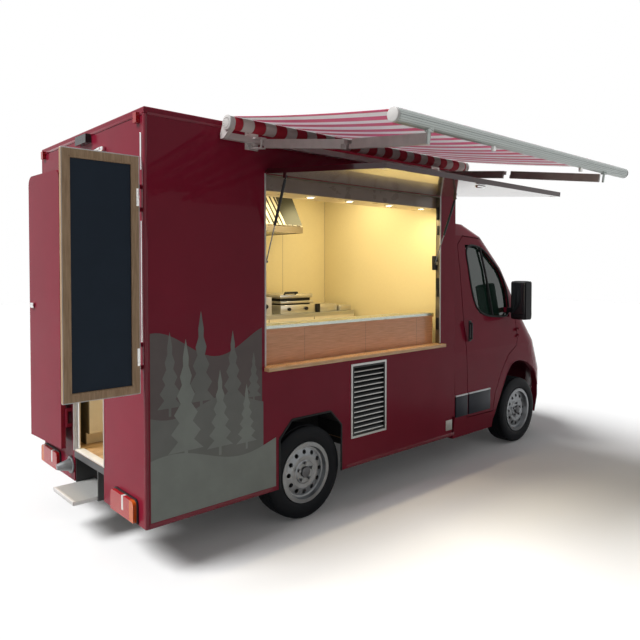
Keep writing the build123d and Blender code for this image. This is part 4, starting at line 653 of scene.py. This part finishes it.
boards = Finish("floor_boards", (0.42, 0.27, 0.14), 0.36)
fibres = boards.noise(10, 6, (0.6, 10, 10))
timber = boards.blend(boards.soft(fibres, 0.3, 0.7), (0.30, 0.18, 0.09), (0.55, 0.36, 0.19))
seam = boards.axis(1).every(0.12) < 0.005
timber = boards.blend(seam, timber, (0.07, 0.04, 0.02))
metal = boards.blend(boards.noise(8, 4), (0.02, 0.02, 0.021), (0.045, 0.045, 0.046))
level_top = boards.axis(2).within(0.518, 0.525)
boards.tint(level_top, metal, timber)
boards.bump(fibres * 0.5 - seam * 2, 0.001, 0.4)
dress(boards, "box_floor")

# The awning: striped acrylic cloth on a roller over the hatch, two folding arms from a square
# tube, and an extruded front bar with caps. The cloth is one sheet, stretched with a slight sag.
AWNING = (0.52, 3.09)
ROLL = (-1.0, 2.782)
FRONT = (-2.385, 2.572)
STRIPE = 0.09
ROLL_RADIUS = 0.042


def stripes(finish, x):
    """Red and cream bands across the truck, each with a fine darker line at its edge."""
    band = x.every(2 * STRIPE)
    red_band = band < STRIPE
    line = (band < 0.004) + band.within(STRIPE, STRIPE + 0.004)
    weave = finish.noise(900, 2, (1, 4, 4))
    cloud = finish.noise(5, 4)
    red = finish.blend(cloud, (0.40, 0.012, 0.030), (0.50, 0.020, 0.045))
    cream = finish.blend(cloud, (0.74, 0.68, 0.65), (0.82, 0.77, 0.74))
    colour = finish.blend(red_band, cream, red)
    return finish.blend(line * 0.6, colour, (0.25, 0.08, 0.07)), weave


acrylic = Finish("awning_cloth", (0.5, 0.1, 0.1), 0.82, Sheen_Weight=0.1, Subsurface_Weight=0.7,
                 Subsurface_Radius=(0.03, 0.03, 0.03), Subsurface_Scale=1.0)
pattern, weave = stripes(acrylic, acrylic.axis(0) - AWNING[0])
acrylic.feed("Base Color", pattern)
acrylic.bump(weave, 0.0005, 0.5)
CLOTH_ACROSS = 60
CLOTH_OUT = 40
CLOTH_SAG = 0.022
cloth_x = (AWNING[0] + 0.042, AWNING[1] - 0.042)
bpy.ops.mesh.primitive_grid_add(x_subdivisions=CLOTH_ACROSS, y_subdivisions=CLOTH_OUT, size=1)
cloth = bpy.context.object
roll_top = Vector((ROLL[0] - 0.006, ROLL[1] + ROLL_RADIUS + 0.002))
bar_top = Vector((FRONT[0], FRONT[1] + 0.0385))
for spot in cloth.data.vertices:
    across, out = spot.co.x + 0.5, spot.co.y + 0.5
    run = roll_top.lerp(bar_top, out)
    sag = CLOTH_SAG * 4 * out * (1 - out) * (0.75 + 0.25 * cos(2 * pi * (across - 0.5)))
    ripple = 0.0016 * sin(across * 52) * 4 * out * (1 - out)
    spot.co = at(cloth_x[0] + across * (cloth_x[1] - cloth_x[0]), run.x, run.y - sag + ripple)
settle(smooth(press(cloth, "SOLIDIFY", thickness=0.0015, offset=0)), "awning_sheet", acrylic)
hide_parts("awning_cloth")
tuple(at(1, roll_top.x, roll_top.y))
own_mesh(cloth)

roller = Finish("roller_and_cloth", (0.7, 0.68, 0.66), 0.5)
rx, ry, rz = roller.axes()
ry, rz = ry - ROLL[0], rz - ROLL[1]
near_axis = (ry * ry + rz * rz) < 0.0435 ** 2
rolled_cloth = near_axis * rx.within(AWNING[0] + 0.032, AWNING[1] - 0.032)
pattern, weave = stripes(roller, rx - AWNING[0])
powder = roller.blend(roller.noise(12, 4), (0.60, 0.56, 0.54), (0.74, 0.71, 0.69))
roller.tint(rolled_cloth, powder, pattern)
roller.feed("Roughness", rolled_cloth * 0.45 + 0.33)
roller.bump(weave * rolled_cloth, 0.0006, 0.5)
dress(roller, "awning_roller")
arm_coat = Finish("arm_powder_coat", (0.62, 0.55, 0.53), 0.36).worn(0.12, 0.12, 18)
dress(arm_coat, "awning_upper_arm_rear", "awning_upper_arm_front", "awning_forearm_rear")
# The front forearm gets a darker copy of the arms' powder coat: painted shade.
painted_shade_arm_coat = Finish("arm_powder_coat_painted_shade", (0.36, 0.29, 0.26), 0.38).worn(0.15, 0.12, 18)
dress(painted_shade_arm_coat, "awning_forearm_front")
silver = Finish("front_bar_silver", (0.42, 0.46, 0.44), 0.34, Metallic=0.55)
groove_y = silver.axis(1) - FRONT[0]
groove_z = silver.axis(2) - FRONT[1]
# The grooves along the front bar are painted near-black: painted shade in the grooves.
groove = (groove_z.maths("ARCTAN2", groove_y) * 3.2).every(1.0) < 0.12
silver.tint(groove, (0.44, 0.48, 0.46), (0.10, 0.11, 0.11))
silver.bump(1 - groove, 0.002, 0.8)
dress(silver, "awning_front_bar")
for x, out, name, finish in ((AWNING[0], -1, "rear", white_metal), (AWNING[1] + 0.03, 1, "front", black)):
    cap = bar(at(x - out * 0.004, *FRONT), at(x + out * 0.018, *FRONT), 0.0355, 0.006, 40)
    settle(cap, f"front_bar_cap_{name}", finish, "awning_front_bar")
for x, out, name in ((AWNING[0], -1, "rear"), (AWNING[1], 1, "front")):
    ribs = [bar(at(x - out * 0.002, *ROLL), at(x + out * 0.012, *ROLL), 0.047, 0.004, 48)]
    for i in range(12):
        a = 2 * pi * i / 12
        y, z = ROLL[0] + 0.030 * cos(a), ROLL[1] + 0.030 * sin(a)
        ribs.append(bar(at(x + out * 0.004, y, z), at(x + out * 0.016, y, z), 0.0045))
    settle(ribs, f"roller_cap_{name}", white_metal)
settle([panel(x - 0.012, x + 0.012, FRONT[0] - 0.010, FRONT[0] + 0.010, FRONT[1] - 0.062,
              FRONT[1] - 0.030, 0.004) for x in (1.356, 2.423)],
       "front_bar_hangers", steel, "awning_front_bar")
BRACKET_FACE = -0.909
BOLT_X = [shoulder + dx for shoulder in (0.772, 2.782) for dx in (-0.036, 0.036)]
settle([bar(at(x, BRACKET_FACE, z), at(x, BRACKET_FACE - 0.009, z), 0.007, 0.002, 6)
        for x in BOLT_X for z in (2.667, 2.757)], "shoulder_bolts", steel)

# The rear: a doorway with its steel door folded back against the wall, the oak-framed menu
# board on the corner, a pull-out step, tail lamps in black bezels and a zinc inlet.
DOOR_LOW, DOOR_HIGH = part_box("rear_door")
door_paint = red_paint("door_paint", False)
dress(door_paint, "rear_door")
door_y = (DOOR_LOW.y - MIDDLE, DOOR_HIGH.y - MIDDLE)
door_z = (DOOR_LOW.z, DOOR_HIGH.z)


def rounded(y0, y1, z0, z1, radius, steps=6):
    """A rectangle's outline with round upper corners."""
    points = [(y0, z0), (y1, z0)]
    for cy, start in ((y1 - radius, 0), (y0 + radius, pi / 2)):
        for i in range(steps + 1):
            a = start + pi / 2 * i / steps
            points.append((cy + radius * cos(a), z1 - radius + radius * sin(a)))
    return points


rim = []
for grow, level, thick in ((0.030, -0.064, 0.010), (0.062, -0.0715, 0.006)):
    outline = rounded(door_y[0] + grow + 0.02, door_y[1] - grow, door_z[0] + grow, door_z[1] - grow, 0.06)
    rim.append(plate(outline, thick, "rear", level, 0.002))
settle(rim, "rear_door_pressings", door_paint, "rear_door")
LATCH_Y, LATCH_Z = 0.806, 1.57
latch = [
    panel(-0.086, -0.070, 0.775, 0.838, 1.520, 1.62, 0.006),
    bar(at(-0.086, LATCH_Y, LATCH_Z), at(-0.112, LATCH_Y, LATCH_Z), 0.014, 0.004),
    panel(-0.122, -0.106, 0.775, 0.838, 1.548, 1.590, 0.006),
]
settle(latch, "rear_door_latch", chrome, "rear_door")
clip = [
    panel(-0.030, -0.001, -0.356, -0.24, 2.625, 2.655, 0.006),
    bar(at(-0.036, -0.345, 2.64), at(-0.036, -0.251, 2.64), 0.006),
]
settle(clip, "doorway_clip", chrome)
DOORWAY = (-0.28, 0.25, 2.54)
seal = Finish("rubber_seal", (0.012, 0.012, 0.013), 0.6, Specular_IOR_Level=0.2).worn(0.3, 0.15, 40)
strips = []
for y, s in ((DOORWAY[0], 1), (DOORWAY[1], -1)):
    strips.append(panel(-0.004, 0.002, y, y - s * 0.012, 0.52, DOORWAY[2], 0.002))
    strips.append(panel(0.0, 0.046, y, y + s * 0.004, 0.52, DOORWAY[2], 0.001))
strips.append(panel(-0.004, 0.002, DOORWAY[0], DOORWAY[1], DOORWAY[2], DOORWAY[2] + 0.012, 0.002))
settle(strips, "doorway_frame", white_metal)
POST = (0.030, 0.234)
posts = [bar(at(*POST, 0.53), at(*POST, 1.62), 0.010),
         bar(at(0.012, POST[1], 0.98), at(0.034, POST[1], 0.98), 0.015, 0.005)]
for z in (1.60, 0.60):
    posts.append(bar(at(*POST, z), at(POST[0], 0.247, z), 0.008))
settle(posts, "doorway_grab_post", steel)
sill = panel(0.002, 0.062, DOORWAY[0] + 0.002, DOORWAY[1] - 0.002, 0.516, 0.5285, 0.003)
settle(sill, "doorway_sill", white_metal)

board = Finish("board_oak_and_slate", (0.2, 0.16, 0.1), 0.5, Specular_IOR_Level=0.12)
slate_mask = board.axis(0).within(-0.426, -0.076) * board.axis(2).within(1.170, 2.463)
oak_grain = board.noise(12, 6, (9, 9, 0.7))
oak = board.blend(board.soft(oak_grain, 0.3, 0.7), (0.42, 0.28, 0.17), (0.56, 0.39, 0.25))
chalk = board.noise(7, 6)
slate = board.blend(chalk, (0.012, 0.020, 0.032), (0.017, 0.028, 0.044))
board.tint(slate_mask, oak, slate)
board.feed("Roughness", 0.5 - slate_mask * 0.08 + chalk * 0.08)
board.bump(oak_grain, 0.001, 0.4)
dress(board, "menu_board")
edge_strips = []
for x0, x1 in ((-0.4745, -0.470), (-0.030, -0.024)):
    edge_strips.append(panel(x0, x1, -0.8885, -0.8635, 1.118, 2.515, 0.002))
for z0, z1 in ((1.116, 1.122), (2.511, 2.517)):
    edge_strips.append(panel(-0.4745, -0.026, -0.8885, -0.8635, z0, z1, 0.002))
beads = []
for face in (-0.8885, -0.8645):
    for x0, x1 in ((-0.434, -0.426), (-0.076, -0.068)):
        beads.append(panel(x0, x1, face - 0.003, face + 0.003, 1.16, 2.473, 0.002))
    for z0, z1 in ((1.16, 1.168), (2.465, 2.473)):
        beads.append(panel(-0.434, -0.068, face - 0.003, face + 0.003, z0, z1, 0.002))
settle(edge_strips, "board_edge_strips", white_metal, "menu_board")
settle(beads, "board_slate_beads", board, "menu_board")
plates = []
for z in (1.335, 2.275):
    plates.append(panel(-0.046, -0.028, -0.894, -0.856, z - 0.052, z + 0.052, 0.003))
    for dz in (-0.034, 0.0, 0.034):
        plates.append(bar(at(-0.037, -0.892, z + dz), at(-0.037, -0.897, z + dz), 0.005, 0.001, 16))
settle(plates, "board_hinge_plates", steel, "menu_board")
rods = [bar(at(-0.010, WALL + 0.02, z0), at(-0.010, WALL + 0.02, z1), 0.005)
        for z0, z1 in ((1.42, 2.14), (2.44, 2.66))]
settle(rods, "corner_grab_rods", chrome)

tread = Finish("step_tread", (0.66, 0.66, 0.64), 0.4, Metallic=0.4)
rib_mask = tread.axis(1).every(0.018) < 0.006
tread.tint(rib_mask, (0.66, 0.66, 0.64), (0.36, 0.36, 0.35))
tread.bump(rib_mask, 0.002, 0.7)
dress(tread, "entry_step")
nose = [panel(-0.1605, -0.140, -0.148, 0.236, 0.2665, 0.290, 0.004),
        panel(-0.14, 0.12, -0.149, -0.139, 0.264, 0.284, 0.002),
        panel(-0.14, 0.12, 0.227, 0.237, 0.264, 0.284, 0.002)]
settle(nose, "step_nosing", white_metal, "entry_step")

lens = Finish("tail_lamp_lens", (0.5, 0.02, 0.02), 0.14, Coat_Weight=0.35, Coat_Roughness=0.03,
              Specular_IOR_Level=0.2)
ly, lz = lens.axis(1), lens.axis(2)
amber = ((ly < -0.735) + (ly > 0.815)) * (lz < 1.0)
# A narrow pale strip on each lens is a painted highlight.
clear = abs(ly).within(0.625, 0.65) * lz.within(0.35, 1.0)
tone = lens.blend(amber, (0.42, 0.008, 0.012), (0.62, 0.11, 0.010))
tone = lens.blend(clear, tone, (0.75, 0.72, 0.70))
camera_box = abs(ly) < 0.2
lens.tint(camera_box, tone, (0.02, 0.02, 0.022))
lens.bump(lz.every(0.011) < 0.0035, 0.0015, 0.5)
dress(lens, "body_lamps")
settle([plate(rounded(y0 - 0.006, y1 + 0.006, 0.304, 0.446, 0.034), 0.012, "rear", -0.005, 0.002)
        for y0, y1 in ((-0.790, -0.459), (0.530, 0.880))], "tail_lamp_bezels", black)
INLET = (0.315, 0.40)
bpy.ops.mesh.primitive_cone_add(
    vertices=40, radius1=0.050, radius2=0.022, depth=0.11, location=at(-0.05, *INLET),
    rotation=(0, -pi / 2, 0))
funnel = bpy.context.object
press(funnel, "BEVEL", width=0.004, segments=2, limit_method="ANGLE", angle_limit=radians(40))
zinc = Finish("zinc_plate", (0.26, 0.27, 0.28), 0.42, Metallic=0.5).worn(0.25, 0.15, 30)
flange = bar(at(0.0, *INLET), at(-0.012, *INLET), 0.064, 0.004, 40)
settle([smooth(funnel, 45), flange], "rear_inlet", zinc)

# The vent grille is anodised aluminium, riveted on; a small blank plate sits at the front
# lower corner, and rubber lips edge the rear wheel arches.
GRILLE = (1.740, 2.125, 0.530, 1.090)
vent = Finish("vent_grille", (0.5, 0.5, 0.5), 0.32, Metallic=0.6, Specular_IOR_Level=0.3)
gx, gy, gz = vent.axes()
opening, inside = (gx.within(GRILLE[0] + rim, GRILLE[1] - rim) * gz.within(GRILLE[2] + rim, GRILLE[3] - rim)
                   for rim in (0.003, 0.019))
shade = opening * (1 - inside * (gy < WALL - 0.0002))
satin = vent.blend(vent.noise(60, 3, (1, 14, 14)), (0.42, 0.42, 0.41), (0.58, 0.58, 0.57))
vent.tint(shade, satin, (0.008, 0.009, 0.010))
vent.feed("Metallic", 0.6 - shade * 0.6)
vent.bump(1 - shade, 0.0006, 0.5)
dress(vent, "vent_grille")
settle([bar(at(x, WALL - 0.005, z), at(x, WALL - 0.0085, z), 0.0045, 0.0015, 16)
        for x in (1.733, 2.132) for z in (0.56, 0.72, 0.90, 1.06)], "grille_rivets", steel)
plate_finish = Finish("blank_plate", (0.62, 0.60, 0.55), 0.35, Coat_Weight=0.4).worn(0.1, 0.1, 30)
tag = panel(2.967, 3.061, WALL - 0.004, WALL + 0.001, 0.354, 0.450, 0.003)
settle(tag, "corner_plate", plate_finish)
arch_lip = []
arch_line = [(1.013, 0.292), (1.013, 0.650), (1.128, 0.770), (1.508, 0.770), (1.623, 0.650), (1.623, 0.292)]
for side in (-1, 1):
    y = side * HALF_WIDTH
    for (xa, za), (xb, zb) in zip(arch_line, arch_line[1:]):
        arch_lip.append(bar(at(xa, y, za), at(xb, y, zb), 0.008, 0.002, 16))
settle(arch_lip, "rear_arch_lips", seal)

# The running gear: black painted frame, cast hubs, pressed silver wheels with nuts and a cap,
# and road tyres with ribs, shoulder blocks and a rounded sidewall.
frame_paint = Finish("frame_paint", (0.022, 0.022, 0.024), 0.5).worn(0.35, 0.2, 12)
frame_paint.grained(160, 3, 0.0006, 0.4)
dress(frame_paint, "chassis", "front_axle", "rear_axle", "steady_front_left", "steady_front_right",
      "steady_rear_left", "steady_rear_right")
cast = Finish("cast_metal", (0.12, 0.12, 0.125), 0.55, Metallic=0.6)
cast.worn(0.3, 0.2, 25).grained(300, 3, 0.0012, 0.5)
dress(cast, "engine_block", "knuckle_left", "knuckle_right")
dress(steel, "exhaust")
wheel_paint = Finish("wheel_silver", (0.22, 0.23, 0.24), 0.3, Metallic=0.75)
wheel_paint.worn(0.15, 0.12, 16).grained(250, 2, 0.0005, 0.3)
rubber = Finish("tyre_rubber", (0.006, 0.007, 0.009), 0.6, Specular_IOR_Level=0.12)
rubber.worn(0.3, 0.2, 20).grained(500, 3, 0.0006, 0.4)
SIDES = (("right", -1), ("left", 1))
FRONT_AXLE = 4.287
TRACK_HALF = 0.770
TYRE_RADIUS = 0.345
SEAT_RADIUS = 0.206
TREAD_RADIUS = 0.3375
TREAD_STEPS = 80


def tyre(x, side):
    """A tyre: half a section with its ribs is mirrored, spun round the axle and cut into blocks."""
    half = [(SEAT_RADIUS, 0.090), (0.226, 0.0925), (0.236, 0.100), (0.262, 0.1055), (0.290, 0.1058),
            (0.312, 0.1035), (0.328, 0.0975), (0.338, 0.088), (0.3425, 0.074), (0.3435, 0.062),
            (0.3365, 0.0605), (0.3365, 0.0535), (0.3440, 0.052), (0.3447, 0.026), (0.3375, 0.0245),
            (0.3375, 0.0175), (0.3448, 0.016)]
    section = half + [(r, -y) for r, y in reversed(half)]
    mesh = bpy.data.meshes.new("tyre")
    mesh.from_pydata([(r, y, 0) for r, y in section], [(i, i + 1) for i in range(len(section) - 1)], [])
    piece = placed(mesh)
    bpy.ops.object.mode_set(mode="EDIT")
    bpy.ops.mesh.select_all(action="SELECT")
    bpy.ops.mesh.spin(steps=TREAD_STEPS, angle=2 * pi, center=(0, 0, 0), axis=(0, 1, 0))
    bpy.ops.mesh.select_all(action="SELECT")
    bpy.ops.mesh.remove_doubles(threshold=0.0004)
    bpy.ops.mesh.normals_make_consistent(inside=False)
    bpy.ops.mesh.select_all(action="DESELECT")
    bpy.ops.object.mode_set(mode="OBJECT")
    for face in piece.data.polygons:
        spoke = Vector((face.center.x, face.center.z))
        step = int((spoke.angle_signed(Vector((1, 0))) + pi) / (2 * pi) * TREAD_STEPS)
        face.select = spoke.length > TREAD_RADIUS and abs(face.center.y) > 0.06 and step % 2 == 0
    bpy.ops.object.mode_set(mode="EDIT")
    bpy.ops.mesh.select_mode(type="FACE")
    bpy.ops.mesh.inset(thickness=0.0022, depth=-0.005)
    bpy.ops.object.mode_set(mode="OBJECT")
    piece.location = at(x, side * TRACK_HALF, TYRE_RADIUS)
    return smooth(piece, 28)


for end, x in (("rear", 1.287), ("front", FRONT_AXLE)):
    for name, side in SIDES:
        body = f"wheel_{end}_{name}"
        dress(wheel_paint, f"rim_{end}_{name}")
        road_tyre = settle(tyre(x, side), f"road_tyre_{end}_{name}", rubber, body)
        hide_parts(f"tyre_{end}_{name}")
        out = side * (TRACK_HALF + 0.086)
        cap = [bar(at(x, out - side * 0.004, TYRE_RADIUS), at(x, out + side * 0.016, TYRE_RADIUS),
                   0.040, 0.008, 40)]
        for i in range(5):
            a = 2 * pi * i / 5 + pi / 2
            nut_x, nut_z = x + 0.065 * cos(a), TYRE_RADIUS + 0.065 * sin(a)
            nut_y = side * (TRACK_HALF + 0.080)
            cap.append(bar(at(nut_x, nut_y, nut_z), at(nut_x, nut_y + side * 0.020, nut_z), 0.0125, 0.003, 6))
        settle(cap, f"wheel_nuts_{end}_{name}", cast, body)

# The cab: pressed steel in the same red, green glass, a black grille and dashboard, fluted
# headlamps, and on each door a black mirror with its glass and a black grip.
cab_paint = red_paint("cab_paint", False)
dress(cab_paint, "cab_shell", "front_bumper", "bonnet", "cab_door_right", "cab_door_left")
glass = Finish("green_glass", (0.030, 0.085, 0.060), 0.03, Transmission_Weight=0.62, IOR=1.45, Coat_Weight=0.3)
glass.feed("Roughness", glass.noise(3, 2) * 0.03 + 0.01)
dress(glass, "windscreen", "door_glass_right", "door_glass_left")
dress(black, "front_grille", "dashboard")
fluted = Finish("headlamp", (0.62, 0.64, 0.66), 0.1, Metallic=0.7, Coat_Weight=1.0, Coat_Roughness=0.02)
flutes = fluted.axis(1).every(0.022) < 0.011
fluted.tint(flutes, (0.66, 0.68, 0.70), (0.34, 0.35, 0.37))
fluted.bump(flutes, 0.002, 0.4)
dress(fluted, "headlamps")

# The mirror pane is near-black with a weak gloss in place of silvering: a painted dark reflection.
mirror_glass = Finish("mirror_glass", (0.016, 0.017, 0.02), 0.06, Coat_Weight=0.3)
mirror_glass.feed("Roughness", mirror_glass.noise(4, 2) * 0.04 + 0.04)
MIRROR_REAR, MIRROR_FRONT = 4.040, 4.150
for name, side in SIDES:
    body = f"cab_door_{name}"
    y = side * 1.008
    shell = panel(MIRROR_REAR - 0.004, MIRROR_FRONT + 0.003, y - 0.086, y + 0.086, 1.331, 1.729, 0.030, 5)
    settle(shell, f"mirror_shell_{name}", black, body)
    y = side * 1.010
    pane = panel(MIRROR_REAR - 0.008, MIRROR_REAR - 0.002, y - 0.072, y + 0.072, 1.39, 1.71, 0.004)
    settle(pane, f"mirror_glass_{name}", mirror_glass, body)
    grip = [
        panel(3.335, 3.372, side * 0.893 - 0.006, side * 0.893 + 0.006, 1.155, 1.355, 0.004),
        bar(at(3.353, side * 0.915, 1.175), at(3.353, side * 0.915, 1.335), 0.010, 0.004),
        *[bar(at(3.353, side * 0.885, z), at(3.353, side * 0.915, z), 0.008) for z in (1.180, 1.330)],
    ]
    settle(grip, f"door_grip_{name}", black, body)

# Trim on the cab: rubber round the side windows with a divider bar, dark door mouldings with
# a bright upper edge, arch lips in the body's paint, and two wipers.
NOSE_TURN = 4.50
NOSE_RADIUS = 0.63
CAB_SIDE = ((0.25, 0.872), (0.43, 0.893), (0.73, 0.895), (0.86, 0.893), (1.06, 0.885), (1.31, 0.852),
            (1.86, 0.800), (2.18, 0.742), (2.30, 0.670))
WINDOW = ((3.455, 2.095), (3.740, 2.078), (4.030, 1.822), (4.130, 1.620), (4.140, 1.350), (3.800, 1.368),
          (3.590, 1.412), (3.500, 1.545), (3.455, 1.850))
ARCH = ((3.785, 0.345), (3.960, 0.680), (4.090, 0.860), (4.250, 0.897), (4.450, 0.850), (4.640, 0.720),
        (4.730, 0.560))


def cab_half(z):
    """How far the cab's side is from the middle at a height."""
    for (z0, y0), (z1, y1) in zip(CAB_SIDE, CAB_SIDE[1:]):
        if z <= z1:
            return y0 + (y1 - y0) * (z - z0) / (z1 - z0)
    return CAB_SIDE[-1][1]


def on_cab(x, z, side, proud=0.0):
    """A place on the cab's side, which curves in towards the nose."""
    ahead = max(0.0, x - NOSE_TURN)
    return at(x, side * (cab_half(z) + proud - NOSE_RADIUS + (NOSE_RADIUS ** 2 - ahead ** 2) ** 0.5), z)


def beading(points, radius, name, finish, body, closed=False):
    """A rubber or metal bead that follows points, its corners rounded."""
    curve = bpy.data.curves.new(name, "CURVE")
    curve.dimensions = "3D"
    curve.bevel_depth = radius
    curve.bevel_resolution = 3
    run = curve.splines.new("NURBS")
    run.points.add(len(points) - 1)
    for spot, point in zip(run.points, points):
        spot.co = (*point, 1)
    run.use_cyclic_u = closed
    run.order_u = 3
    run.use_endpoint_u = not closed
    run.resolution_u = 5
    curve.use_fill_caps = not closed
    placed(curve)
    bpy.ops.object.convert(target="MESH")
    piece = bpy.context.object
    bpy.ops.object.shade_smooth()
    return settle(piece, name, finish, body) if finish else piece


def doubled(points, inset=0.06):
    """Each corner of an outline held by a point close on either side of it."""
    out = []
    for i, here in enumerate(points):
        before, after = Vector(points[i - 1]), Vector(points[(i + 1) % len(points)])
        here = Vector(here)
        for other in (before, after):
            way = other - here
            out.append(here + way * min(inset / way.length, 0.4))
    return out


moulding = Finish("door_moulding", (0.016, 0.020, 0.030), 0.45, Specular_IOR_Level=0.2)
moulding.worn(0.2, 0.15, 20)
bright = Finish("moulding_edge", (0.62, 0.64, 0.66), 0.3, Metallic=0.4).worn(0.1, 0.1, 20)
for name, side in SIDES:
    body = f"cab_door_{name}"
    loop = [on_cab(x, z, side, 0.001) for x, z in doubled(WINDOW)]
    beading(loop, 0.010, f"window_rubber_{name}", seal, body, True)
    split = [on_cab(3.712 + 0.118 * t, 2.068 - 0.700 * t, side, -0.002) for t in (0, 0.35, 0.7, 1.0)]
    beading(split, 0.011, f"window_divider_{name}", seal, body)
    lip = [on_cab(x, z, side, -0.004) for x, z in ARCH]
    beading(lip, 0.009, f"front_arch_lip_{name}", cab_paint, "root")
    for part, x0, x1, rides in (("cab", 3.116, 3.308, "root"), ("door", 3.328, 3.700, body)):
        strip = panel(x0, x1, side * 0.888, side * 0.906, 0.452, 0.645, 0.006)
        settle(strip, f"side_moulding_{part}_{name}", moulding, rides)
        strip = panel(x0, x1, side * 0.889, side * 0.909, 0.647, 0.662, 0.004)
        settle(strip, f"moulding_edge_{part}_{name}", bright, rides)


def on_screen(y, z, proud=0.0):
    """A place on the windscreen's outside, which bows forward in the middle."""
    t = (z - 1.31) / 0.55
    nose, corner = 0.453 - 0.430 * t, 0.313 - 0.400 * t
    return at(FRONT_AXLE + nose - (nose - corner) * (y / 0.615) ** 2 + proud, y, z)


wipers = []
for foot, tip in ((0.46, -0.08), (-0.10, -0.56)):
    blade = [on_screen(foot + (tip - foot) * t, 1.458 + 0.030 * t, 0.006) for t in (0, 0.25, 0.5, 0.75, 1.0)]
    wipers.append(beading(blade, 0.0045, "blade", None, None))
    wipers.append(bar(on_screen(foot, 1.450, -0.004), on_screen(foot, 1.456, 0.008), 0.009, 0.003))
    wipers.append(bar(on_screen(foot, 1.456, 0.007), on_screen((foot + tip) / 2, 1.474, 0.009), 0.004))
settle(wipers, "wipers", black)

# The seats: crowned foam pads in dark grey cloth on a plinth, one for the driver and a double
# one beside it, each with a headrest on two posts.
seat_cloth = Finish("seat_cloth", (0.05, 0.05, 0.055), 0.85, Sheen_Weight=0.3)
seat_cloth.worn(0.3, 0.1, 30).grained(700, 2, 0.0006, 0.6)


def pad(low, high, lean=0.0):
    """A crowned cushion: a cage pulled in at its edges and smoothed."""
    low, high = Vector(low), Vector(high)
    bpy.ops.mesh.primitive_cube_add(size=1, location=(low + high) / 2, scale=high - low)
    piece = bpy.context.object
    bpy.ops.object.transform_apply()
    press(piece, "BEVEL", width=0.28 * min(high - low), segments=3, limit_method="NONE")
    press(piece, "SUBSURF", levels=2, render_levels=2)
    middle = (low + high) / 2
    for spot in piece.data.vertices:
        spot.co.x -= lean * (spot.co.z - low.z)
        spot.co.y = middle.y + (spot.co.y - middle.y) * (1 - 0.03 * cos((spot.co.z - middle.z) * 6))
    bpy.ops.object.shade_smooth()
    return piece


CAB_FLOOR = 0.62
for name, y, wide in (("driver", 0.48, 0.48), ("double", -0.36, 0.76)):
    parts = [
        panel(3.42, 3.80, y - wide / 2 + 0.04, y + wide / 2 - 0.04, CAB_FLOOR, CAB_FLOOR + 0.235, 0.01),
        pad(at(3.38, y - wide / 2, CAB_FLOOR + 0.23), at(3.88, y + wide / 2, CAB_FLOOR + 0.36)),
        pad(at(3.385, y - wide / 2, 0.93), at(3.495, y + wide / 2, 1.56), 0.26),
        pad(at(3.225, y - 0.13, 1.575), at(3.315, y + 0.13, 1.755), 0.10),
        *[bar(at(3.262, post, 1.53), at(3.262, post, 1.62), 0.006) for post in (y - 0.05, y + 0.05)],
    ]
    seat = settle(parts, f"seat_{name}", seat_cloth)
    if name == "driver":
        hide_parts("cab_seats")
